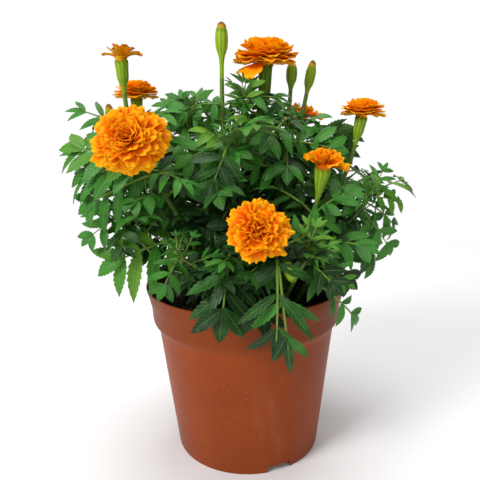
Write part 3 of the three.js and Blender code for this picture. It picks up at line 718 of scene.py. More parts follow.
class Graph:
    """The node tree of one material."""

    def __init__(self, name: str) -> None:
        """Starts a material with a Principled shader.

        Args:
            name: The material's name.
        """
        self.material = bpy.data.materials.new(name)
        self.material.use_nodes = True
        self.tree = self.material.node_tree
        self.shader = self.tree.nodes["Principled BSDF"]

    def node(self, kind: str, settings: dict[str, object],
             values: dict[str | int, object]) -> bpy.types.Node:
        """Adds a node.

        Args:
            kind: The node's type.
            settings: Its settings, such as an operation, set before its sockets.
            values: Numbers, colours, Values or sockets for its input sockets.

        Returns:
            The new node.
        """
        node = self.tree.nodes.new(kind)
        for name, setting in settings.items():
            setattr(node, name, setting)
        for name, value in values.items():
            self.feed(node.inputs[name], value)
        return node

    def feed(self, socket: bpy.types.NodeSocket, value: object) -> None:
        """Links or sets an input socket.

        Args:
            socket: The input socket.
            value: A Value, an output socket, a number or a colour.
        """
        source = value.socket if isinstance(value, Value) else value
        if isinstance(source, bpy.types.NodeSocket):
            self.tree.links.new(source, socket)
        else:
            socket.default_value = source

    def math(self, operation: str, *values: "Value | float") -> Value:
        """Adds a Math node and gives its result."""
        node = self.node("ShaderNodeMath", {"operation": operation}, dict(enumerate(values)))
        return Value(self, node.outputs[0])

    def values(self, *names: str) -> list[Value]:
        """Reads shading values that the meshes carry."""
        nodes = [self.node("ShaderNodeAttribute", {"attribute_name": name}, {}) for name in names]
        return [Value(self, node.outputs["Fac"]) for node in nodes]

    def place(self) -> bpy.types.NodeSocket:
        """Gives the point of the surface, in metres."""
        return self.node("ShaderNodeTexCoord", {}, {}).outputs["Object"]

    def stretched(self, scale: tuple[float, float, float]) -> bpy.types.NodeSocket:
        """Gives the point of the surface with each axis multiplied."""
        node = self.node("ShaderNodeVectorMath", {"operation": "MULTIPLY"}, {0: self.place(), 1: scale})
        return node.outputs[0]

    def height(self) -> Value:
        """Gives the height of the point of the surface, in metres."""
        return Value(self, self.node("ShaderNodeSeparateXYZ", {}, {"Vector": self.place()}).outputs["Z"])

    def combined(self, x: Value, y: Value, z: Value | float) -> bpy.types.NodeSocket:
        """Joins three numbers in a vector."""
        return self.node("ShaderNodeCombineXYZ", {}, {"X": x, "Y": y, "Z": z}).outputs[0]

    def noise(self, scale: float, detail: float = 2.0, vector: object = None) -> Value:
        """Adds cloudy noise from 0 to 1.

        Args:
            scale: How many clouds there are in a unit of the vector.
            detail: How many finer layers it has.
            vector: Where it is read; the point of the surface if left out.

        Returns:
            The noise.
        """
        where = self.place() if vector is None else vector
        node = self.node("ShaderNodeTexNoise", {}, {"Vector": where, "Scale": scale, "Detail": detail})
        return Value(self, node.outputs["Fac"])

    def mix(self, share: Value | float, low: object, high: object,
            kind: str = "MIX") -> bpy.types.NodeSocket:
        """Mixes two colours.

        Args:
            share: How much of the second there is.
            low: The first colour.
            high: The second colour.
            kind: The way they mix.

        Returns:
            The mixed colour.
        """
        node = self.node(
            "ShaderNodeMix",
            {"data_type": "RGBA", "blend_type": kind, "clamp_factor": True},
            {"Factor": share, 6: low, 7: high},
        )
        return node.outputs[2]

    def bump(self, height: Value, strength: float, distance: float) -> bpy.types.NodeSocket:
        """Turns a height into a normal.

        Args:
            height: The height, from 0 to 1.
            strength: How strongly it shows.
            distance: What a height of one is worth, in metres.

        Returns:
            The normal.
        """
        values = {"Height": height, "Strength": strength, "Distance": distance}
        return self.node("ShaderNodeBump", {}, values).outputs["Normal"]

    def soften(self, weight: float, radius: tuple[float, float, float]) -> None:
        """Lets light into a thin, living piece, to so many metres for red, green and blue."""
        self.finish(Subsurface_Weight=weight, Subsurface_Radius=radius, Subsurface_Scale=0.5)

    def finish(self, **values: object) -> bpy.types.Material:
        """Sets the shader's sockets, named with underscores for spaces, and gives the material."""
        for name, value in values.items():
            self.feed(self.shader.inputs[name.replace("_", " ")], value)
        return self.material


Colour = tuple[float, float, float, float]


@dataclass(frozen=True)
class LeafFinish:
    """Upper or lower side of a leaf: green with paler veins and a soft bluish sheen, darkened with painted
    shade deep in the plant.
    """

    name: str = "leaf_top"
    shade: Colour = (0.003, 0.024, 0.002, 1)
    body: Colour = (0.034, 0.190, 0.015, 1)
    young: Colour = (0.16, 0.33, 0.02, 1)
    vein: Colour = (0.14, 0.29, 0.06, 1)
    roughness: float = 0.3
    veins: float = 58.0
    vein_slant: float = 9.0

    def build(self) -> bpy.types.Material:
        """Makes the material."""
        graph = Graph(self.name)
        along, across, tint = graph.values("along", "across", "tint")
        mottle = graph.noise(160, 3)
        # Painted shade: a low tint, given to leaves within the plant, mixes the green towards the shade
        # colour.
        depth = tint * 0.9 + mottle * 0.5 - 0.2
        colour = graph.mix(depth.step(0.14, 0.72), self.shade, self.body)
        colour = graph.mix(tint.step(0.9, 1.6), colour, self.young)
        midrib = across.size().step(0.16, 0.03)
        ribs = ((along * self.veins - across.size() * self.vein_slant).wave() * 0.5 + 0.5) ** 5.0
        veins = midrib.math("MAXIMUM", ribs * 0.32)
        colour = graph.mix(veins * (depth * 0.35 + 0.22), colour, self.vein)
        relief = ribs * -0.5 - midrib + mottle * 0.3
        graph.soften(0.04, (0.002, 0.004, 0.001))
        return graph.finish(
            Base_Color=colour,
            Roughness=mottle * 0.2 + self.roughness,
            Normal=graph.bump(relief, 0.55, 0.0004),
            Specular_IOR_Level=0.25,
        )


@dataclass(frozen=True)
class StemFinish:
    """Stems and leaf ribs: green, ribbed and slightly brown near the compost."""

    name: str = "stem"
    green: Colour = (0.045, 0.105, 0.012, 1)
    pale: Colour = (0.15, 0.26, 0.035, 1)
    brown: Colour = (0.045, 0.03, 0.012, 1)
    ribs: int = 8

    def build(self) -> bpy.types.Material:
        """Makes the material."""
        graph = Graph(self.name)
        along, across, tint = graph.values("along", "across", "tint")
        mottle = graph.noise(90, 3)
        colour = graph.mix(along * 0.6 + tint * 0.4 + mottle * 0.3 - 0.15, self.green, self.pale)
        colour = graph.mix(along.step(0.3, 0.02) * 0.6, colour, self.brown)
        ribs = (across * (2 * math.pi * self.ribs)).wave()
        graph.soften(0.1, (0.002, 0.003, 0.001))
        return graph.finish(
            Base_Color=colour,
            Roughness=0.5,
            Specular_IOR_Level=0.25,
            Normal=graph.bump(ribs * 0.5 + mottle * 0.5, 0.3, 0.0003),
        )


@dataclass(frozen=True)
class CupFinish:
    """Green cups and buds: yellow-green, ribbed lengthwise, paler along the ribs."""

    name: str = "cup"
    green: Colour = (0.075, 0.17, 0.002, 1)
    pale: Colour = (0.38, 0.57, 0.03, 1)
    ribs: int = 9

    def build(self) -> bpy.types.Material:
        """Makes the material."""
        graph = Graph(self.name)
        along, across, tint = graph.values("along", "across", "tint")
        rib = (across * (2 * math.pi * self.ribs)).wave() * 0.5 + 0.5
        mottle = graph.noise(220, 3)
        share = rib * 0.4 + tint * 0.5 + mottle * 0.3 - 0.12
        colour = graph.mix(share, self.green, self.pale)
        colour = graph.mix(along.step(0.9, 1.0) * 0.5, colour, self.green)
        graph.soften(0.15, (0.002, 0.003, 0.001))
        return graph.finish(
            Base_Color=colour,
            Roughness=0.5,
            Specular_IOR_Level=0.2,
            Normal=graph.bump(rib + mottle * 0.2, 0.35, 0.0004),
        )


@dataclass(frozen=True)
class PetalFinish:
    """Petals: orange, deeper towards the root and on the inner petals, partly their own colour and partly
    painted shade; yellow along the ruffled edge, with fine streaks.
    """

    name: str = "petal_face"
    root: Colour = (0.60, 0.050, 0.001, 1)
    body: Colour = (0.92, 0.175, 0.002, 1)
    edge: Colour = (1.0, 0.45, 0.006, 1)

    def build(self) -> bpy.types.Material:
        """Makes the material."""
        graph = Graph(self.name)
        along, across, tint = graph.values("along", "across", "tint")
        streak = graph.noise(1.0, 1.5, graph.combined(across * 2.4, along * 0.8, tint * 40.0))
        # Deeper towards the root: partly the petal's own colour, partly painted shade where the petals
        # crowd the core.
        colour = graph.mix((along + streak * 0.5 - 0.25).step(0.2, 0.85), self.root, self.body)
        sides = across.size().step(0.7, 1.0) * along.step(0.25, 0.7)
        rim = along.step(0.7, 0.95).math("MAXIMUM", sides)
        colour = graph.mix((rim + streak * 0.5 - 0.25) * 0.95, colour, self.edge)
        # Painted shade: petals with a low tint, the inner ones, mix towards the deep root colour.
        colour = graph.mix((0.5 - tint) * 0.5, colour, self.root)
        graph.soften(0.15, (0.003, 0.0008, 0.0002))
        normal = graph.bump(streak, 0.2, 0.0003)
        return graph.finish(Base_Color=colour, Roughness=0.6, Normal=normal, Specular_IOR_Level=0.05)

    def both(self) -> list[bpy.types.Material]:
        """Makes the material for a petal's face and the same again for its back."""
        return [self.build(), replace(self, name=f"{self.name}_back").build()]


@dataclass(frozen=True)
class TipFinish:
    """Folded petals at a bud's end: yellow-green where they leave the cup, then orange, then brownish."""

    name: str = "bud_tip"
    foot: Colour = (0.30, 0.34, 0.015, 1)
    body: Colour = (0.55, 0.28, 0.008, 1)
    end: Colour = (0.13, 0.06, 0.006, 1)

    def build(self) -> bpy.types.Material:
        """Makes the material."""
        graph = Graph(self.name)
        along, across = graph.values("along", "across")
        streak = graph.noise(1.0, 3, graph.combined(across * 14.0, along * 1.2, 0.0))
        colour = graph.mix((along + streak * 0.4 - 0.2).step(0.3, 0.6), self.foot, self.body)
        colour = graph.mix((along + streak * 0.8 - 0.4).step(0.45, 0.9), colour, self.end)
        normal = graph.bump(streak, 0.5, 0.0003)
        return graph.finish(Base_Color=colour, Roughness=0.6, Normal=normal, Specular_IOR_Level=0.2)


@dataclass(frozen=True)
class PotFinish:
    """Pot: moulded terracotta-coloured plastic, satin, with faint clouding, dust and specks.

    The band's colour is a painted shade, standing for the shadow that the foliage casts on the rim band; it
    multiplies the rest above a step, whose two heights are in metres.
    """

    name: str = "pot_plastic"
    clay: Colour = (0.225, 0.042, 0.008, 1)
    warm: Colour = (0.268, 0.050, 0.009, 1)
    dust: Colour = (0.42, 0.27, 0.17, 1)
    band: Colour = (0.76, 0.80, 0.80, 1)
    step: tuple[float, float] = (0.079, 0.085)

    def build(self) -> bpy.types.Material:
        """Makes the material."""
        graph = Graph(self.name)
        cloud = graph.noise(22, 4)
        colour = graph.mix(cloud.step(0.3, 0.7), self.clay, self.warm)
        scuff = graph.noise(60, 6, graph.stretched((1.0, 1.0, 0.25))).step(0.62, 0.8)
        speck = graph.noise(900, 0).step(0.79, 0.83)
        colour = graph.mix(scuff * 0.12 + speck * 0.3, colour, self.dust)
        # Painted shade: the rim band above the step is darkened as if it lay in the foliage's shadow.
        colour = graph.mix(graph.height().step(*self.step), colour, self.band, "MULTIPLY")
        grain = graph.noise(1400, 2)
        return graph.finish(
            Base_Color=colour,
            Roughness=cloud * 0.14 + scuff * 0.1 + 0.36,
            Normal=graph.bump(grain * 0.5 + cloud * 0.5, 0.12, 0.0006),
            Specular_IOR_Level=0.1,
        )


@dataclass(frozen=True)
class CompostFinish:
    """Compost: near-black peat crumbs with lighter fibres."""

    name: str = "compost"
    peat: Colour = (0.010, 0.007, 0.005, 1)
    fibre: Colour = (0.055, 0.036, 0.022, 1)

    def build(self) -> bpy.types.Material:
        """Makes the material."""
        graph = Graph(self.name)
        crumb = graph.noise(420, 6)
        colour = graph.mix(crumb.step(0.45, 0.75), self.peat, self.fibre)
        normal = graph.bump(crumb, 0.9, 0.0012)
        return graph.finish(Base_Color=colour, Roughness=0.92, Normal=normal, Specular_IOR_Level=0.2)


class Palette:
    """All finishes of the plant, made once."""

    LEAF_TOP, LEAF_UNDER, STEM, CUP = range(4)

    def __init__(self) -> None:
        """Makes the materials."""
        under = LeafFinish(
            name="leaf_under",
            shade=(0.022, 0.062, 0.012, 1),
            body=(0.065, 0.145, 0.032, 1),
            young=(0.15, 0.28, 0.04, 1),
            vein=(0.14, 0.24, 0.07, 1),
            roughness=0.5,
        )
        self.greens = [LeafFinish().build(), under.build(), StemFinish().build(), CupFinish().build()]
        # The backs are yellower, as a marigold's petal backs are, and also lighter: a painted light against
        # the shade on the undersides.
        back = PetalFinish(
            name="petal_back_painted_light",
            root=(0.72, 0.16, 0.002, 1),
            body=(0.95, 0.30, 0.003, 1),
            edge=(1, 0.45, 0.005, 1),
        )
        self.petals = [PetalFinish().build(), back.build()]
        amber = PetalFinish(
            name="petal_amber",
            root=(0.95, 0.24, 0.002, 1),
            body=(1, 0.37, 0.003, 1),
            edge=(1, 0.48, 0.005, 1),
        )
        domed = amber.both()
        starry = PetalFinish(
            name="petal_starry",
            root=(0.66, 0.24, 0.004, 1),
            body=(0.76, 0.36, 0.006, 1),
            edge=(0.42, 0.10, 0.004, 1),
        )
        self.blooms = {Bloom.DOME: domed, Bloom.FLAT: domed, Bloom.THIN: starry.both()}
        self.tips = [TipFinish().build()]
        self.pot = [PotFinish().build()]
        self.compost = [CompostFinish().build()]


@dataclass(frozen=True)
class Leaflets:
    """Outline and form of leaflets: where their pairs stand, how they are cut and how they bend.

    Places and sizes are shares of the leaf's length, and angles are in degrees. Where two values stand
    together, they are for the first and the last pair, or the least and the most.
    """

    DEPTH = (-80.2, 82.2)
    SHORT_LEAF = 42.0
    NARROW_LEAF = 0.6
    PAIRS = (3, 4)
    PLACE_PLAY = 0.012
    REACH_PLAY = (0.9, 1.08)
    TURN_PLAY = 4.0
    TERMINAL_WIDTH = 1.15
    TEETH_SLANT = 0.22
    RIB_RINGS = 9
    RIB_SIDES = 6
    RIB_RADII = (0.85, 0.36)
    RIB_DEPTH = 0.15
    RIB_TINT = 0.35
    FULL_LENGTH = 45.0

    first: float = 0.2
    last: float = 0.68
    terminal: float = 0.66
    end: float = 0.985
    reach: float = 0.4
    width: float = 0.132
    angles: tuple[float, float] = (62.0, 42.0)
    teeth: int = 8
    tooth: tuple[float, float] = (0.04, 0.95)
    notch: float = 0.22
    foot: float = 0.1
    point: float = 0.03
    thickness: float = 0.35
    fold: tuple[float, float] = (0.1, 0.45)
    curl: tuple[float, float] = (0.0, 0.34)
    roll: float = 0.28
    lift: float = 0.11
    shades: float = 0.11
    rib_end: float = 0.78

    def rows(self) -> tuple[np.ndarray, np.ndarray]:
        """Gives places along a leaflet with its half width there, both as shares.

        Returns:
            The places, from root to tip, and the half widths.
        """
        tooth = (np.arange(self.teeth)[:, None] + np.array(self.tooth)).ravel() / self.teeth
        along = np.concatenate([[0.0], tooth, [1.0]])
        swell = np.sin(math.pi * along**0.85) ** 0.8
        notched = 1 - self.notch * (1 - (along * self.teeth) % 1.0)
        half = np.maximum(swell * notched, self.point)
        half[0] = self.foot
        return along, half

    def layout(self, leaf: Leaf, length: float, draw: np.random.Generator) -> tuple[np.ndarray, ...]:
        """Lays out a leaf's leaflets, in pairs and with one at its end.

        Args:
            leaf: The leaf as planned.
            length: The length of its blade.
            draw: The source of small differences.

        Returns:
            Where each leaflet starts on the rib, its reach, its width and its turn from the rib in radians.
        """
        few, many = self.PAIRS
        pairs = few if length < self.SHORT_LEAF or leaf.breadth < self.NARROW_LEAF else many
        root = np.linspace(self.first, self.last, pairs).repeat(2)
        root = root + draw.normal(0, self.PLACE_PLAY, 2 * pairs)
        side = np.tile([1.0, -1.0], pairs)
        order = np.linspace(0, 1, pairs).repeat(2)
        swell = 0.78 + 0.3 * np.sin(math.pi * (order * 0.8 + 0.15))
        reach = length * self.reach * leaf.spread * swell * draw.uniform(*self.REACH_PLAY, 2 * pairs)
        turn = np.radians(blend(*self.angles, order) + draw.normal(0, self.TURN_PLAY, 2 * pairs)) * side
        width = length * self.width * leaf.breadth * (0.72 + 0.28 * swell) * (many / pairs) ** 0.6
        return (
            np.append(root, self.terminal) * length,
            np.append(reach, length * (self.end - self.terminal)),
            np.append(width, length * self.width * self.TERMINAL_WIDTH * leaf.breadth),
            np.append(turn, 0.0),
        )

    def add_to(self, mould: Mould, leaf: Leaf, blade: Blade, tint: float, draw: np.random.Generator,
               columns: int = 5) -> None:
        """Adds a leaf: its rib with pairs of leaflets and one at its end.

        Args:
            mould: Where the leaf goes.
            leaf: The leaf as planned.
            blade: The surface that it lies in.
            tint: Light or dark, from 0 to 1, and above 1 where the leaf is young.
            draw: The source of small differences.
            columns: Points across a leaflet.
        """
        root, reach, width, turn = (each[:, None, None] for each in self.layout(leaf, blade.length, draw))
        along, half = self.rows()
        across = np.linspace(-1, 1, columns)
        x = along[None, :, None] * reach * np.ones(columns)
        y = across * half[None, :, None] * (width / 2)
        x = x + self.TEETH_SLANT * np.abs(y) * np.sin(math.pi * along)[None, :, None]
        fold, curl = draw.uniform(*self.fold, root.shape), draw.uniform(*self.curl, root.shape)
        roll, lift = draw.normal(0, self.roll, root.shape), draw.normal(0, self.lift, root.shape)
        lift[-1] = roll[-1] = 0
        s = root + x * np.cos(turn) - y * np.sin(turn)
        t = x * np.sin(turn) + y * np.cos(turn)
        h = fold * np.abs(y) + roll * y + lift * x - curl * x * x / reach
        points = blade.at(s, t, h)
        points[..., 1] = np.clip(points[..., 1], *self.DEPTH)
        tints = tint + draw.normal(0, self.shades, root.shape)
        sides = (Palette.LEAF_TOP, Palette.LEAF_UNDER)
        mould.add_sheets(points, self.thickness, sides, along[None, :, None], across[None, None, :], tints)
        self.add_rib(mould, blade, tint)

    def add_rib(self, mould: Mould, blade: Blade, tint: float) -> None:
        """Adds the rib that carries a leaf's leaflets.

        Args:
            mould: Where the rib goes.
            blade: The surface that it lies in.
            tint: Light or dark, from 0 to 1.
        """
        share = np.linspace(0, self.rib_end, self.RIB_RINGS)
        scale = np.clip(blade.length / self.FULL_LENGTH, 0.6, 1.1)
        radius = (blend(*self.RIB_RADII, share / share[-1]) * scale)[:, None]
        s = (share * blade.length)[:, None] * np.ones(self.RIB_SIDES)
        x, y = circle(self.RIB_SIDES).T
        rings = blade.at(s, radius * x, radius * y - self.RIB_DEPTH)
        middles = rings.mean(axis=1)[[0, -1]]
        mould.add_rings(rings, middles, Palette.STEM, 1.0, 0.0, tint + self.RIB_TINT, inside_out=True)


@dataclass
class Crown:
    """The space that the plant's leaves fill: its outline from the front and from the side, and its blooms.

    Gaps are boxes from left to right and from low to high that are open to the view from the front. Each
    bloom has its middle, its radius and whether it shows from the front.
    """

    GAP_DEPTH = 30.0
    RIM_RADIUS = 52.0
    RIM_ROOM = 3.0
    SOIL_ROOM = 2.0
    BLOOM_ROOM = 3.0
    SIGHT_ROOM = 1.0
    BLOOM_MIDDLE = 0.4
    BLOOM_REACH = 0.95

    outline: tuple[tuple[float, float], ...] = (
        (-100, 150), (-98, 185), (-88, 207), (-66, 210), (-48, 210), (-30, 218), (-12, 222), (12, 222),
        (26, 214), (44, 199), (60, 188), (78, 181), (99, 176), (102, 150), (94, 126), (86, 104),
    )
    depth: float = 78.0
    top: float = 250.0
    sides: tuple[float, float] = (-90.0, 84.0)
    gaps: tuple[tuple[float, float, float, float], ...] = (
        (27, 64, 84, 112), (58, 105, 80, 114), (-42, -26, 117, 134), (-95, -52, 94, 130),
    )
    blooms: list[tuple[np.ndarray, float, bool]] = field(default_factory=list)

    def add_bloom(self, stem: Stem) -> None:
        """Keeps room for a stem's bloom."""
        whorl = stem.bloom.value
        middle = Corolla(stem).place(np.array([0, 0, self.BLOOM_MIDDLE * whorl.crown]))
        radius = whorl.reach * stem.size * self.BLOOM_REACH
        self.blooms.append((middle, radius, stem.name not in HIDDEN_BLOOMS))

    def holds(self, points: np.ndarray) -> bool:
        """Tells whether a leaf fits the crown.

        Args:
            points: Points of the leaf.

        Returns:
            True where it is inside the outline, off the pot's rim and clear of every bloom, also as seen
            from the front.
        """
        x, y, z = points.T
        across, _, up = (EYE + (points - EYE) * (-EYE[1] / (y - EYE[1]))[:, None]).T
        amiss = (x < self.sides[0]) | (x > self.sides[1]) | (np.abs(y) > self.depth) | (z > self.top)
        amiss |= up > np.interp(across, *np.array(self.outline).T)
        amiss |= (z < POT_HEIGHT + self.RIM_ROOM) & (np.hypot(x, y) > self.RIM_RADIUS)
        amiss |= z < SOIL_TOP + self.SOIL_ROOM
        for left, right, low, high in self.gaps:
            inside = (across > left) & (across < right) & (up > low) & (up < high)
            amiss |= inside & (y < self.GAP_DEPTH)
        return not np.any(amiss) and all(self.clears(points, *bloom) for bloom in self.blooms)

    def clears(self, points: np.ndarray, centre: np.ndarray, radius: float, shows: bool) -> bool:
        """Tells whether a leaf keeps off one bloom.

        Args:
            points: Points of the leaf.
            centre: The bloom's middle.
            radius: The bloom's radius.
            shows: Whether the leaf also has to keep off the view of it from the front.

        Returns:
            True where it does.
        """
        near = np.linalg.norm(points - centre, axis=1) < radius + self.BLOOM_ROOM
        ray, gap = unit(centre - EYE), points - EYE
        ahead = gap @ ray
        off = np.linalg.norm(gap - ahead[:, None] * ray, axis=1)
        distance = float(np.linalg.norm(centre - EYE))
        before = (ahead < distance) & (off < (radius + self.SIGHT_ROOM) * ahead / distance)
        return not np.any(near | (before & shows))


class Greens:
    """One stem with its green cup or bud and its leaves.

    Places on the stem are shares of it, lengths are in millimetres and angles in degrees. A pair of values
    is the least and the most, or in a name that ends in S, the first and the last.
    """

    SIDES = 12
    STEM_RIBS = 4
    STEM_RELIEF = 0.05
    HEAD_RINGS = 20
    HEAD_SMOOTHING = (0.25, 0.5, 0.25)
    SIDES_A_RIB = 6
    CUP_RIBS = 9
    BUD_RIBS = 7
    BUD_SHAPE = ((-0.25, 0.42), (0, 0.6), (0.14, 0.9), (0.35, 1.03), (0.6, 1.06), (0.82, 1.04), (1.0, 0.9))
    CLOSED_END = ((0.85, 0.86), (0.95, 0.62), (1.0, 0.4))
    LONG_NECK = 5.0
    FAN_PLACES = (0.55, 0.97)
    FAN_TURNS = (78, 30)
    FAN_LIFTS = (4, 16)
    FAN_REACHES = (46, 42)
    FAN_OF_ONE = 0.77
    PARTNER_TURNS = (180, 150, 210, 120, 240)
    PARTNER_PLAY = 12.0
    PARTNER_REACH = (0.7, 0.92)
    TALL = 160.0
    FIRST_FILLER = 0.42
    FIRST_FILLER_WHEN_TALL = 0.3
    LAST_FILLER = 0.9
    FILLER_PLAY = 35.0
    FILLER_LIFT = (-12.0, 38.0)
    FILLER_REACH = (30.0, 48.0)
    FILLER_DROOP = 50.0
    BREADTH = (0.8, 1.3)
    SPREAD = (0.85, 1.15)
    ROLL_PLAY = 26.0
    TRIES = 6
    SPRIG_GAP = 0.02
    SPRIG_LIFTS = (25.0, 75.0)
    SPRIG_REACHES = (24.0, 12.0)
    TUFT_FROM = 0.93
    TUFT_TINT = (0.9, 1.35)
    PACKED_BREADTH = 1.12
    MIDDLE = np.array([0.0, 0.0, 95.0])
    HALF_SIZES = np.array([100, 160, 100])
    PROBES = ((0.25, 0), (0.5, 0), (0.8, 0), (1.0, 0), (0.5, 1), (0.5, -1), (0.75, 0.8), (0.75, -0.8))

    def __init__(self, stem: Stem, node: bpy.types.Object, crown: Crown) -> None:
        """Lays out the stem.

        Args:
            stem: The stem's plan.
            node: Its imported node.
            crown: The space that its leaves fill.
        """
        self.stem = stem
        self.axis = Axis(stem)
        self.corners = node_corners(node)
        self.crown = crown
        self.draw = np.random.default_rng([SEED, STEMS.index(stem)])
        self.mould = Mould()
        self.tint = float(self.draw.uniform(0.25, 0.75))

    def add_stem(self) -> None:
        """Adds the stem itself, slightly ribbed."""
        sections = self.axis.sections()
        radii = np.linspace(*STEM_RADII, len(sections))
        ribbed = radii[:, None] * (1 + self.STEM_RELIEF * np.cos(self.STEM_RIBS * angles_round(self.SIDES)))
        self.mould.add_tube(sections, ribbed, Palette.STEM, self.tint)

    def add_head(self, profile: list[tuple[float, float]], ribs: int, relief: float, tooth: float,
                 tint: float) -> None:
        """Adds a ribbed cup or bud on the stem's end.

        Args:
            profile: Heights above the stem's end, each with a radius.
            ribs: How many ribs run up it.
            relief: How far they stand out, as a share of the radius.
            tooth: How far each rib ends above the notches between them.
            tint: Light or dark.
        """
        end = self.axis.end()
        heights, radii = np.array(profile).T
        fine = np.linspace(heights[0], heights[-1], self.HEAD_RINGS)
        smooth = np.interp(fine, heights, radii)
        smooth[1:-1] = np.convolve(smooth, self.HEAD_SMOOTHING, "valid")
        share = np.linspace(0, 1, self.HEAD_RINGS)
        dip = np.cos(ribs * angles_round(ribs * self.SIDES_A_RIB)) - 1
        swell = relief * np.sin(math.pi * np.clip(share * 1.1, 0, 1))
        rings = smooth[:, None] * (1 + swell[:, None] * dip / 2)
        teeth = tooth * dip * np.clip(share * 8 - 7, 0, 1)[:, None]
        sections = [end.moved(height) for height in fine]
        self.mould.add_tube(sections, rings, Palette.CUP, tint + 0.3 * (self.tint - 0.5), share, teeth)

    def add_cup(self) -> None:
        """Adds the cup under a bloom, with its small teeth."""
        cup = self.stem.bloom.value.cup
        profile = [(share * cup.length, radius) for share, radius in cup.outside]
        self.add_head(profile, self.CUP_RIBS, relief=0.09, tooth=1.1, tint=cup.tint)

    def add_bud(self) -> None:
        """Adds a bud's green body."""
        hull, size = self.stem.bud.value, self.stem.size
        shape = self.BUD_SHAPE if hull.tip else (*self.BUD_SHAPE[:-2], *self.CLOSED_END)
        neck = [(0.0, STEM_RADII[1])]
        if hull.neck > self.LONG_NECK:
            neck.append((hull.neck * 0.5, 1.2))
        body = [(hull.neck + share * hull.length, radius * hull.radius) for share, radius in shape]
        body = [row for row in body if row[0] > neck[-1][0]]
        profile = [(height * size, radius * size) for height, radius in [*neck, *body]]
        self.add_head(profile, self.BUD_RIBS, relief=0.06, tooth=0.5, tint=0.68 if hull.tip else 0.3)

    def packed_leaves(self) -> list[tuple[Leaf, Blade]]:
        """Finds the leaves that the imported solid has, with their blades."""
        leaves = []
        for leaf in (*self.stem.leaves, *self.fan_leaves()):
            blade = Blade.packed(self.axis.point(leaf.at), leaf, self.corners)
            if blade is None:
                LOG.warning("%s has no packed leaf at %.2f", self.stem.name, leaf.at)
            else:
                leaves.append((leaf, blade))
        return leaves

    def fan_leaves(self) -> Iterator[Leaf]:
        """Gives the leaves that a back or side shoot carries by rule."""
        stem = self.stem
        lean = math.atan2(stem.head[1], stem.head[0])
        for i in range(stem.fan):
            at = blend(*self.FAN_PLACES, i / (stem.fan - 1)) if stem.fan > 1 else self.FAN_OF_ONE
            turn = lean + (-1 if i % 2 else 1) * math.radians(blend(*self.FAN_TURNS, i))
            away = direction(turn, math.radians(blend(*self.FAN_LIFTS, i)))
            yield Leaf(at, tuple(self.axis.point(at) + blend(*self.FAN_REACHES, i) * away))

    def more_leaves(self, packed: list[tuple[Leaf, Blade]]) -> Iterator[tuple[Leaf, Blade]]:
        """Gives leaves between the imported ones: a partner opposite each, then pairs up the stem.

        Args:
            packed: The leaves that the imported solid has.

        Yields:
            Leaves that fit the crown, with their blades.
        """
        draw = self.draw
        for leaf, blade in packed:
            reach = (blade.tip - blade.base) * draw.uniform(*self.PARTNER_REACH)
            for turn in self.PARTNER_TURNS:
                play = draw.uniform(-self.PARTNER_PLAY, self.PARTNER_PLAY)
                tip = blade.base + turned(reach, UP, turn + play)
                other = self.fitted(leaf.at, tip, leaf.droop)
                if other:
                    yield other
                    break
        start = self.FIRST_FILLER_WHEN_TALL if self.stem.head[2] > self.TALL else self.FIRST_FILLER
        spin = draw.uniform(0, 360)
        for i, at in enumerate(np.linspace(start, self.LAST_FILLER, self.stem.fillers)):
            for half in (0, 180):
                for _ in range(self.TRIES):
                    play = draw.uniform(-self.FILLER_PLAY, self.FILLER_PLAY)
                    lift = math.radians(draw.uniform(*self.FILLER_LIFT))
                    away = direction(math.radians(spin + 90 * i + half + play), lift)
                    tip = self.axis.point(at) + draw.uniform(*self.FILLER_REACH) * away
                    other = self.fitted(at, tip, self.FILLER_DROOP)
                    if other:
                        yield other
                        break

    def add_sprigs(self) -> None:
        """Adds the small young leaves that crowd round a shoot's end."""
        draw = self.draw
        for i in range(self.stem.sprigs):
            order = i / self.stem.sprigs
            at = 1 - self.SPRIG_GAP * (self.stem.sprigs - i)
            turn = i * GOLDEN + draw.uniform(-0.3, 0.3)
            lift = math.radians(blend(*self.SPRIG_LIFTS, order) + draw.uniform(-8, 8))
            reach = blend(*self.SPRIG_REACHES, order) * draw.uniform(0.85, 1.1)
            base = self.axis.point(at)
            tip = base + reach * direction(turn, lift)
            leaf = Leaf(at, tuple(tip), droop=44, breadth=0.65, spread=0.9)
            tint = 0.6 + 0.6 * self.stem.youth + draw.uniform(-0.1, 0.25)
            blade = Blade(base, tip, leaf.droop)
            Leaflets(teeth=4).add_to(self.mould, leaf, blade, tint, draw, columns=3)

    def add_tuft(self) -> None:
        """Adds the longer bright young leaves of a shoot's end."""
        for tip in self.stem.tuft:
            base = self.axis.point(self.draw.uniform(self.TUFT_FROM, 1))
            leaf = Leaf(1, tip, droop=50, breadth=0.68, spread=0.9)
            tint = self.draw.uniform(*self.TUFT_TINT)
            blade = Blade(base, np.array(tip, float), leaf.droop)
            Leaflets(teeth=5).add_to(self.mould, leaf, blade, tint, self.draw)

    def shade(self, blade: Blade) -> float:
        """Tells how light a leaf is: painted shade, darker within the plant and lighter towards its
        outside.
        """
        out = float(np.linalg.norm((blade.tip - self.MIDDLE) / self.HALF_SIZES))
        return 0.86 * min(out, 1.02) ** 2.6 + float(self.draw.normal(0, 0.2)) - 0.04

    def fitted(self, at: float, tip: np.ndarray, droop: float) -> tuple[Leaf, Blade] | None:
        """Makes a leaf where the crown has room for it.

        Args:
            at: Its place on the stem.
            tip: Where its blade ends.
            droop: How far it arches over.

        Returns:
            The leaf and its blade, or None.
        """
        breadth, spread = self.draw.uniform(*self.BREADTH), self.draw.uniform(*self.SPREAD)
        leaf = Leaf(at, tuple(tip), droop, breadth, spread)
        blade = Blade(self.axis.point(at), tip, droop, self.draw.normal(0, self.ROLL_PLAY))
        along, beside = blade.length * np.array(self.PROBES).T
        points = blade.at(along, beside * 0.3, np.zeros(len(along)))
        return (leaf, blade) if self.crown.holds(points) else None

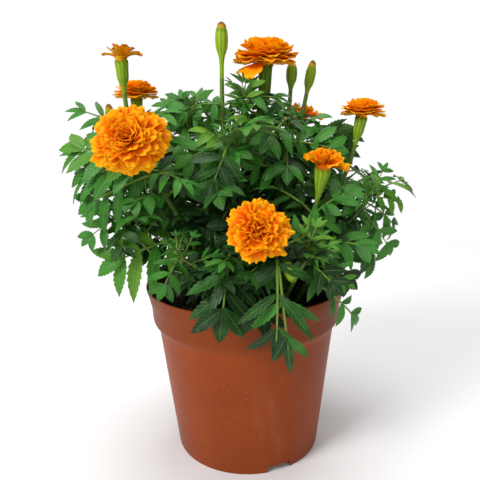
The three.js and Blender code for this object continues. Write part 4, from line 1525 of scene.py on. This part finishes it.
    def build(self, palette: Palette) -> bpy.types.Object:
        """Makes the piece.

        Args:
            palette: The finishes.

        Returns:
            The piece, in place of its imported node.
        """
        self.add_stem()
        if self.stem.bloom:
            self.add_cup()
        elif self.stem.bud:
            self.add_bud()
        else:
            self.add_sprigs()
        self.add_tuft()
        leaflets = Leaflets()
        packed = self.packed_leaves()
        youth = self.stem.youth
        for leaf, blade in packed:
            # The tint carries the painted shade from shade(), with the leaf's youth added.
            tint = self.shade(blade) + youth + leaf.youth
            fuller = replace(leaf, breadth=leaf.breadth * self.PACKED_BREADTH)
            leaflets.add_to(self.mould, fuller, blade, tint, self.draw)
        extra = [
            (leaf, Blade(self.axis.point(leaf.at), np.array(leaf.tip, float), leaf.droop))
            for leaf in self.stem.extra
        ]
        extra.extend(self.more_leaves(packed))
        for leaf, blade in extra:
            # Painted shade from shade() again, with some of the stem's youth added.
            tint = self.shade(blade) + youth * 0.7
            leaflets.add_to(self.mould, leaf, blade, tint, self.draw, columns=3)
        LOG.info("%s: %d packed leaves and %d more", self.stem.name, len(packed), len(extra))
        piece = self.mould.build(f"greens_{self.stem.name}", palette.greens)
        return mount(piece, f"stem_{self.stem.name}")


@dataclass(frozen=True)
class Petal:
    """One petal: its place, its bend and its cut.

    It starts at an azimuth, so far out from the bloom's axis and up from the cup, with a slope, and curls
    over from there; these angles are in radians. Scoop is how far its edges turn up.
    """

    azimuth: float
    root: float
    foot: float
    start: float
    curl: float
    length: float
    width: float
    scoop: float
    tint: float


class Corolla:
    """The ruffled petals of one bloom, standing out of a small core.

    The core has rows of a height and a radius: shares of the cup's mouth at its foot, and shares of its own
    height and radius at its top. The heart's petals close the middle, and loose ones hang down. A start and
    the loose petals' curl are a mean with its play; other pairs are the least and the most.
    """

    ROWS = 10
    COLUMNS = 17
    THICKNESS = 0.3
    CORE_SIDES = 20
    CORE_FOOT = ((-1.5, 0.7), (0.3, 0.85), (1.8, 1.02))
    CORE_TOP = ((0.5, 1.0), (0.8, 0.8), (1.0, 0.4))
    LEAST_CORE = 3.45
    LEAST_CURL = 8.0
    LENGTH_PLAY = (0.86, 1.05)
    WIDTH_PLAY = (0.85, 1.15)
    SCOOP_PLAY = (0.5, 1.3)
    HEART_START = (98.0, 7.0)
    HEART_CURL = (15.0, 40.0)
    HEART_ROOT = (0.3, 1.9)
    HEART_WIDTH = 4.2
    LOOSE_START = (-18.0, 4.0)
    LOOSE_CURL = (38.0, 6.0)
    LOOSE_LENGTH = 15.5
    LOOSE_WIDTH = 12.0

    def __init__(self, stem: Stem) -> None:
        """Lays out the bloom.

        Args:
            stem: The stem that carries it.
        """
        self.stem = stem
        self.whorl = stem.bloom.value
        self.draw = np.random.default_rng([SEED, 100 + STEMS.index(stem)])
        self.reach, self.crown = self.whorl.reach * stem.size, self.whorl.crown * stem.size
        end = Axis(stem).end()
        self.end = end.moved(self.whorl.cup.length)
        if stem.face:
            along = unit(np.array(stem.face, float))
            across = unit(end.across - along * (along @ end.across))
            self.end = Section(self.end.centre, along, across, np.cross(along, across))
        wide, share = self.whorl.core
        wide, high = max(self.LEAST_CORE, wide * stem.size), share * self.crown
        mouth = self.whorl.cup.outside[-1][1]
        core = [(height, mouth * out) for height, out in self.CORE_FOOT]
        core.extend((high * up, wide * out) for up, out in self.CORE_TOP)
        self.heights, self.radii = np.array(core).T

    def place(self, points: np.ndarray) -> np.ndarray:
        """Stands points made about +Z on the stem's cup."""
        axes = np.stack([self.end.across, self.end.beside * self.stem.squash, self.end.along])
        return self.end.centre + points @ axes

    def add_core(self, mould: Mould) -> None:
        """Adds the dome that the petals stand out of."""
        rings = [self.end.moved(height) for height in self.heights]
        radii = np.repeat(self.radii[:, None], self.CORE_SIDES, axis=1)
        mould.add_tube(rings, radii, 0, 0.5, np.full(len(rings), 0.7))

    def length(self, root: float, foot: float, start: float, curl: float) -> float:
        """Works out how long a petal is that ends on the bloom's dome.

        Args:
            root: Where it starts, out from the axis.
            foot: Where it starts, up from the cup.
            start: The slope that it starts with, in radians.
            curl: How far it curls over, in radians.

        Returns:
            Its length.
        """
        lengths = np.linspace(1, 2 * self.reach, 200)
        out = root + lengths * (math.sin(start) - math.sin(start - curl)) / curl
        up = foot + lengths * (math.cos(start - curl) - math.cos(start)) / curl
        power = self.whorl.shoulder
        filled = np.abs(out / self.reach) ** power + np.abs(up / self.crown) ** power
        return float(np.interp(1, filled, lengths))

    def whorl_petals(self) -> Iterator[Petal]:
        """Gives the petals from the outermost to the innermost, each a golden angle on from the last."""
        whorl, draw = self.whorl, self.draw
        for i in range(whorl.petals):
            depth = ((i + 0.5) / whorl.petals) ** whorl.crowding
            start_play, curl_play = (1 + 2 * whorl.ruffle) * (0.4 + 0.6 * depth), 2 + 3 * whorl.ruffle
            start = math.radians(blend(*whorl.start, depth) + draw.normal(0, start_play))
            curl = blend(*whorl.curl, depth) + draw.normal(0, curl_play)
            curl = math.radians(max(self.LEAST_CURL, curl))
            foot = blend(0.6, self.heights[-1] * 0.92, depth)
            root = 0.8 * float(np.interp(foot, self.heights, self.radii)) * (1 - 0.5 * depth)
            length = self.length(root, foot, start, curl) * draw.uniform(*self.LENGTH_PLAY)
            width = blend(*whorl.width, depth) * self.stem.size * draw.uniform(*self.WIDTH_PLAY)
            azimuth = i * GOLDEN + draw.uniform(-0.25, 0.25) * (1 + 3 * depth)
            scoop = whorl.scoop * draw.uniform(*self.SCOOP_PLAY)
            # The tint falls towards the middle of the bloom: painted shade on the inner petals.
            yield Petal(azimuth, root, foot, start, curl, length, width, scoop, 0.62 - 0.34 * depth)

    def heart_petals(self) -> Iterator[Petal]:
        """Gives the small upright petals that close the bloom's middle."""
        draw = self.draw
        foot = self.heights[-1] * 0.9
        for i in range(self.whorl.heart):
            start = math.radians(draw.normal(*self.HEART_START))
            curl = math.radians(draw.uniform(*self.HEART_CURL))
            root = draw.uniform(*self.HEART_ROOT)
            length = (self.crown - foot) * draw.uniform(0.8, 1.0)
            width = self.HEART_WIDTH * draw.uniform(0.8, 1.2)
            # The heart's low tint is painted shade as well.
            yield Petal(i * GOLDEN, root, foot, start, curl, length, width, scoop=0.9, tint=0.2)

    def loose_petals(self) -> Iterator[Petal]:
        """Gives the petals that hang down over the cup."""
        draw = self.draw
        for azimuth in self.stem.loose:
            start = math.radians(draw.normal(*self.LOOSE_START))
            curl = math.radians(draw.normal(*self.LOOSE_CURL))
            length = self.LOOSE_LENGTH * draw.uniform(0.9, 1.05)
            turn, root = math.radians(azimuth), self.radii[2]
            yield Petal(turn, root, 0.5, start, curl, length, self.LOOSE_WIDTH, scoop=0.15, tint=0.5)

    def add_petal(self, mould: Mould, petal: Petal) -> None:
        """Adds one petal with a rounded, notched and ruffled end.

        Args:
            mould: Where it goes.
            petal: Its place, bend and cut.
        """
        draw, scoop, curl = self.draw, petal.scoop, petal.curl
        ruffle = self.whorl.ruffle * self.stem.size
        frill = 0.012 + 0.012 * self.whorl.ruffle
        along = np.linspace(0, 1, self.ROWS)[:, None]
        across = np.linspace(-1, 1, self.COLUMNS)[None, :]
        phase, lobes = draw.uniform(0, 2 * math.pi, 4), draw.uniform(0.9, 1.7)
        tip = 1 - 0.3 * np.abs(across) ** 3 - 0.15 * scoop * (1 - across**2) ** 2
        tip = tip + frill * np.cos(math.pi * across * 2.4 + phase[0])
        tip = tip + frill * 0.5 * np.cos(math.pi * across * 6 + phase[3])
        share = along * tip
        spread = 0.2 + 0.8 * np.sin(math.pi / 2 * np.clip(share / 0.8, 0, 1)) ** 1.2
        half = petal.width / 2
        side = across * spread * half * (1 - 0.16 * scoop * across**2)
        wave = 0.65 * np.sin(math.pi * lobes * across + phase[1])
        wave = wave + 0.35 * np.sin(math.pi * lobes * 2.4 * across + phase[2])
        spoon = scoop * half * (across**2 * share**0.7 + 1.2 * np.clip(share - 0.6, 0, 1) ** 2)
        twist = draw.normal(0, 0.04 + 0.06 * ruffle) * share * side
        lift = ruffle * share**2.2 * wave + spoon + twist
        slope = petal.start - curl * share
        radius = petal.length / curl
        out = petal.root + radius * (math.sin(petal.start) - np.sin(slope)) - lift * np.sin(slope)
        rise = petal.foot + radius * (np.cos(slope) - math.cos(petal.start)) + lift * np.cos(slope)
        points = turned(np.stack([out, side, rise], axis=-1), UP, math.degrees(petal.azimuth))
        tint = petal.tint + draw.normal(0, 0.14)
        across = np.broadcast_to(across, share.shape)
        mould.add_sheets(self.place(points)[None], self.THICKNESS, (0, 1), share, across, tint)

    def build(self, palette: Palette) -> bpy.types.Object:
        """Makes the piece.

        Args:
            palette: The finishes.

        Returns:
            The piece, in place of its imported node.
        """
        mould = Mould()
        self.add_core(mould)
        for petal in chain(self.whorl_petals(), self.heart_petals(), self.loose_petals()):
            self.add_petal(mould, petal)
        finish = palette.blooms.get(self.stem.bloom, palette.petals)
        piece = mould.build(f"corolla_{self.stem.name}", finish)
        return mount(piece, f"petals_{self.stem.name}")


class BudTip:
    """The folded petals that show at the end of an orange bud."""

    RINGS = 9
    SIDES = 24
    FOLDS = 5
    FOLD_DEPTH = 0.1
    TWIST = 2.2
    WIDTH = 0.88
    BLUNT = 0.08
    SUNK = 1.5
    PAST_END = 1.3

    def __init__(self, stem: Stem) -> None:
        """Lays out the tip on the stem that carries it."""
        self.stem = stem
        self.end = Axis(stem).end()

    def build(self, palette: Palette) -> bpy.types.Object:
        """Makes the piece.

        Args:
            palette: The finishes.

        Returns:
            The piece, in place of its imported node.
        """
        hull, size = self.stem.bud.value, self.stem.size
        foot = (hull.neck + hull.length) * size - self.SUNK
        share = np.linspace(0, 1, self.RINGS)
        radii = hull.radius * self.WIDTH * size * np.sqrt(np.clip(1 - share**3, self.BLUNT, 1))
        around = angles_round(self.SIDES) + self.TWIST * share[:, None]
        folds = radii[:, None] * (1 - self.FOLD_DEPTH + self.FOLD_DEPTH * np.cos(self.FOLDS * around))
        sections = [self.end.moved(foot + place * (hull.tip * size + self.PAST_END)) for place in share]
        mould = Mould()
        mould.add_tube(sections, folds, 0, 0.6, share)
        piece = mould.build(f"folded_petals_{self.stem.name}", palette.tips)
        return mount(piece, f"tip_{self.stem.name}")


@dataclass
class Pot:
    """The nursery pot: a thin tapered shell, its rim band, raised floor, drain holes and foot notches."""

    SHARP = 38.0
    ROUNDING = 0.55
    ROUNDING_SHARE = 0.45
    CORNER_POINTS = 4
    INSIDE_RISE = 0.8
    NOTCH_REACH = 6.0
    DRAIN_REACH = 10.0
    DRAIN_SIDES = 40

    outside: tuple[tuple[float, float], ...] = (
        (44.3, 0.0), (53.4, 78.2), (56.1, 82.4), (56.7, 84.2), (57.1, 92.0), (60.0, 104.0),
    )
    wall: float = 1.4
    floor: tuple[float, float] = (4.2, 5.6)
    notch: tuple[float, float] = (14.7, 4.0)
    notch_azimuths: tuple[float, ...] = (23.0, 143.0, -90.0)
    drain_radius: float = 4.0
    drain_ring: float = 30.0
    sides: int = 160

    def profile(self) -> np.ndarray:
        """Gives the shell's section, radius and height a row, from under its floor to the floor's top."""
        (foot, low), ledge, step, band, waist, rim = self.outside
        wall, (under, top) = self.wall, self.floor
        corners = [
            (0.0, under), (foot - wall + 0.2, under), (foot - wall, low), (foot, low),
            ledge, step, band, waist, rim, (rim[0] - wall, rim[1]), (waist[0] - wall, waist[1]),
            (band[0] - wall, band[1] + self.INSIDE_RISE), (ledge[0] - wall, ledge[1] + self.INSIDE_RISE),
            (foot - wall + 0.6, top), (0.0, top),
        ]
        points = np.array(corners)
        rounded = map(self.rounded, points, points[1:], points[2:])
        return np.concatenate([points[:1], *rounded, points[-1:]])

    def rounded(self, before: np.ndarray, here: np.ndarray, after: np.ndarray) -> np.ndarray:
        """Rounds one corner of the section.

        Args:
            before: The corner before it.
            here: The corner.
            after: The corner after it.

        Returns:
            The points round the corner.
        """
        into, out = before - here, after - here
        start = here + unit(into) * min(self.ROUNDING, np.linalg.norm(into) * self.ROUNDING_SHARE)
        end = here + unit(out) * min(self.ROUNDING, np.linalg.norm(out) * self.ROUNDING_SHARE)
        steps = np.linspace(0, 1, self.CORNER_POINTS)[:, None]
        return start * (1 - steps) ** 2 + here * 2 * steps * (1 - steps) + end * steps**2

    def build(self, palette: Palette) -> bpy.types.Object:
        """Makes the piece.

        Args:
            palette: The finishes.

        Returns:
            The piece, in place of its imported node.
        """
        rows = self.profile()
        radii, heights = rows[1:-1].T
        around = circle(self.sides) * radii[:, None, None]
        up = np.broadcast_to(heights[:, None, None], (len(radii), self.sides, 1))
        ends = np.array([[0, 0, rows[0][1]], [0, 0, rows[-1][1]]])
        mould = Mould()
        mould.add_rings(np.concatenate([around, up], axis=-1), ends, 0, 0.0, 0.0, 0.5)
        pot = mould.build("flower_pot", palette.pot, self.SHARP)
        self.cut(pot)
        return mount(pot, "pot")

    @staticmethod
    def prism(outline: np.ndarray, height: float) -> bpy.types.Object:
        """Makes an upright cutter that reaches as far below the ground as above it.

        Args:
            outline: Its outline, as x and y rows.
            height: How high it is.

        Returns:
            The cutter.
        """
        count = len(outline)
        points = [(x, y, z) for z in (-height, height) for x, y in outline]
        sides = [(i, (i + 1) % count, (i + 1) % count + count, i + count) for i in range(count)]
        faces = [tuple(range(count))[::-1], tuple(range(count, 2 * count)), *sides]
        mesh = bpy.data.meshes.new("cutter")
        mesh.from_pydata([Vector(point) * MM for point in points], [], faces)
        return linked("cutter", mesh)

    def cut(self, pot: bpy.types.Object) -> None:
        """Cuts the foot notches and drain holes.

        Args:
            pot: The piece to cut.
        """
        foot = self.outside[0][0]
        width, height = self.notch
        cutters = []
        block = np.array([[-1, -1], [1, -1], [1, 1], [-1, 1]]) * [width / 2, self.NOTCH_REACH]
        for azimuth in self.notch_azimuths:
            box = self.prism(block, height)
            spin = Matrix.Rotation(math.radians(azimuth), 4, "Z")
            box.matrix_world = spin @ Matrix.Translation(Vector((0, -foot, 0)) * MM)
            cutters.append(box)
        hole = self.drain_radius * circle(self.DRAIN_SIDES)
        turns = [i * math.pi / 2 for i in (1, 2, 3, 4)]
        middles = [(self.drain_ring * math.cos(turn), self.drain_ring * math.sin(turn)) for turn in turns]
        for middle in [(0.0, 0.0), *middles]:
            cutters.append(self.prism(hole + middle, self.DRAIN_REACH))
        for cutter in cutters:
            modifier = pot.modifiers.new("cut", "BOOLEAN")
            modifier.operation = "DIFFERENCE"
            modifier.object = cutter
        graph = bpy.context.evaluated_depsgraph_get()
        shape = bpy.data.meshes.new_from_object(pot.evaluated_get(graph))
        pot.modifiers.clear()
        pot.data = shape
        shape.set_sharp_from_angle(angle=math.radians(self.SHARP))
        for cutter in cutters:
            bpy.data.objects.remove(cutter)


@dataclass
class Compost:
    """The compost: a plug with a lumpy, crumbly top that the stems stand in.

    Grains are how fine and how high its small lumps are; a crumb has its rings' heights and radii.
    """

    INNERMOST = 0.6
    CRUMBS_REACH = 55.0
    CRUMB_SIZES = (0.5, 1.6)
    CRUMB_SIDES = 6
    CRUMB_PLAY = (0.75, 1.15)

    radius: float = 55.4
    under: tuple[tuple[float, float], ...] = ((55.3, 90.0), (54.9, 85.4), (51.6, 79.0), (43.0, 6.2))
    rings: int = 60
    sides: int = 128
    lump: float = 0.9
    grains: tuple[tuple[float, float], ...] = ((0.22, 1.3), (0.6, 0.7), (1.5, 0.35))
    drop: float = 1.6
    crumbs: int = 420
    crumb: tuple[tuple[float, float], ...] = ((-0.8, 0.35), (-0.45, 0.85), (0.2, 0.95), (0.75, 0.4))

    def height(self, x: float, y: float) -> float:
        """Gives the height of the top at a place."""
        lumps = self.lump * math.sin(0.35 * x + 0.8) * math.cos(0.31 * y - 0.4)
        fine = sum(high * noise.noise(Vector((x, y, 0)) * scale) for scale, high in self.grains)
        edge = math.hypot(x, y) / self.radius
        return SOIL_TOP + lumps + fine - self.drop * edge**6

    def build(self, palette: Palette) -> bpy.types.Object:
        """Makes the piece.

        Args:
            palette: The finishes.

        Returns:
            The piece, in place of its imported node.
        """
        around = circle(self.sides)
        radii = np.linspace(self.INNERMOST, self.radius, self.rings)
        top = [[(r * x, r * y, self.height(r * x, r * y)) for x, y in around] for r in radii]
        under = [[(r * x, r * y, z) for x, y in around] for r, z in self.under]
        ends = np.array([[0, 0, self.height(0, 0)], [0, 0, self.under[-1][1]]])
        mould = Mould()
        mould.add_rings(np.array([*top, *under]), ends, 0, 0.0, 0.0, 0.5, inside_out=True)
        self.add_crumbs(mould)
        return mount(mould.build("compost", palette.compost), "soil")

    def add_crumbs(self, mould: Mould) -> None:
        """Scatters small lumps over the top.

        Args:
            mould: Where they go.
        """
        draw = np.random.default_rng([SEED, 200])
        for _ in range(self.crumbs):
            around = draw.uniform(0, 2 * math.pi)
            away = self.CRUMBS_REACH * math.sqrt(draw.uniform(0.02, 1))
            x, y = away * math.cos(around), away * math.sin(around)
            size = draw.uniform(*self.CRUMB_SIZES)
            across = unit(draw.normal(0, 1, 3))
            along = unit(np.cross(across, draw.normal(0, 1, 3)))
            centre = np.array([x, y, self.height(x, y) + 0.1 * size])
            middle = Section(centre, along, across, np.cross(along, across))
            heights, radii = size * np.array(self.crumb).T
            uneven = radii[:, None] * draw.uniform(*self.CRUMB_PLAY, (len(radii), self.CRUMB_SIDES))
            mould.add_tube([middle.moved(height) for height in heights], uneven, 0, 0.5)


@dataclass(frozen=True)
class Lamp:
    """One soft square light: its name, its place and its side in metres, and its power in watts."""

    name: str
    place: tuple[float, float, float]
    side: float
    watts: float


@dataclass
class Studio:
    """The plain pale floor, the soft lights and the camera."""

    CENTRE = Vector((0, 0, 0.15))
    NEAREST = 0.01
    FLOOR_SIDES = 96

    pitch: float = 13.6
    roll: float = -1.2
    focal_px: float = 532.0
    frame_px: float = 480.0
    sensor: float = 36.0
    sky: float = 0.3
    floor: float = 0.6
    lamps: tuple[Lamp, ...] = (
        Lamp("key", (-0.9, -0.8, 0.95), 0.5, 16),
        Lamp("top", (0.0, 0.1, 1.5), 0.9, 12),
        Lamp("front", (0.15, -1.3, 0.5), 0.7, 3),
        Lamp("rim", (0.3, 0.9, 0.9), 0.8, 3),
    )

    def add_camera(self) -> None:
        """Creates the camera at the photograph's viewing angle."""
        data = bpy.data.cameras.new("view")
        data.sensor_width = self.sensor
        data.lens = self.focal_px / self.frame_px * self.sensor
        data.clip_start = self.NEAREST
        camera = linked("view", data)
        tilt = Matrix.Rotation(math.radians(90 - self.pitch), 4, "X")
        spin = Matrix.Rotation(math.radians(self.roll), 4, "Z")
        camera.matrix_world = Matrix.Translation(Vector(EYE) * MM) @ tilt @ spin
        bpy.context.scene.camera = camera

    def add_lamp(self, lamp: Lamp) -> None:
        """Adds one soft light that faces the plant."""
        data = bpy.data.lights.new(lamp.name, "AREA")
        data.size = lamp.side
        data.energy = lamp.watts
        light = linked(lamp.name, data)
        light.location = lamp.place
        light.rotation_euler = (self.CENTRE - light.location).to_track_quat("-Z", "Y").to_euler()

    def add_floor(self) -> None:
        """Lays the pale floor."""
        mesh = bpy.data.meshes.new("floor")
        rim = [(self.floor * x, self.floor * y, 0) for x, y in circle(self.FLOOR_SIDES)]
        mesh.from_pydata(rim, [], [tuple(range(self.FLOOR_SIDES))])
        mesh.materials.append(Graph("floor").finish(Base_Color=(0.9, 0.9, 0.9, 1), Roughness=0.9))
        linked("floor", mesh)

    def build(self) -> None:
        """Sets up the studio."""
        bpy.context.scene.view_settings.view_transform = "Standard"
        world = bpy.data.worlds.new("studio")
        bpy.context.scene.world = world
        world.use_nodes = True
        nodes, links = world.node_tree.nodes, world.node_tree.links
        background = nodes["Background"]
        background.inputs["Color"].default_value = (1, 1, 1, 1)
        seen = nodes.new("ShaderNodeLightPath").outputs["Is Camera Ray"]
        strength = nodes.new("ShaderNodeMapRange")
        strength.inputs["To Min"].default_value = self.sky
        links.new(seen, strength.inputs["Value"])
        links.new(strength.outputs["Result"], background.inputs["Strength"])
        self.add_floor()
        for lamp in self.lamps:
            self.add_lamp(lamp)
        self.add_camera()


def main() -> None:
    """Builds the plant, its pot and the studio in order."""
    logging.basicConfig(level=logging.INFO, format="%(message)s")
    for stale in list(bpy.data.objects):
        bpy.data.objects.remove(stale)
    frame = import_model()
    Studio().build()
    palette = Palette()
    pieces = [Pot().build(palette), Compost().build(palette)]
    crown = Crown()
    for stem in STEMS:
        if stem.bloom:
            crown.add_bloom(stem)
    for stem in STEMS:
        pieces.append(Greens(stem, frame["nodes"][f"stem_{stem.name}"], crown).build(palette))
        if stem.bloom:
            pieces.append(Corolla(stem).build(palette))
        if stem.bud and stem.bud.value.tip:
            pieces.append(BudTip(stem).build(palette))
    for piece in pieces:
        LOG.info("%s: %d faces", piece.name, len(piece.data.polygons))
    LOG.info("%d faces in all", sum(len(piece.data.polygons) for piece in pieces))


if __name__ == "__main__":
    main()
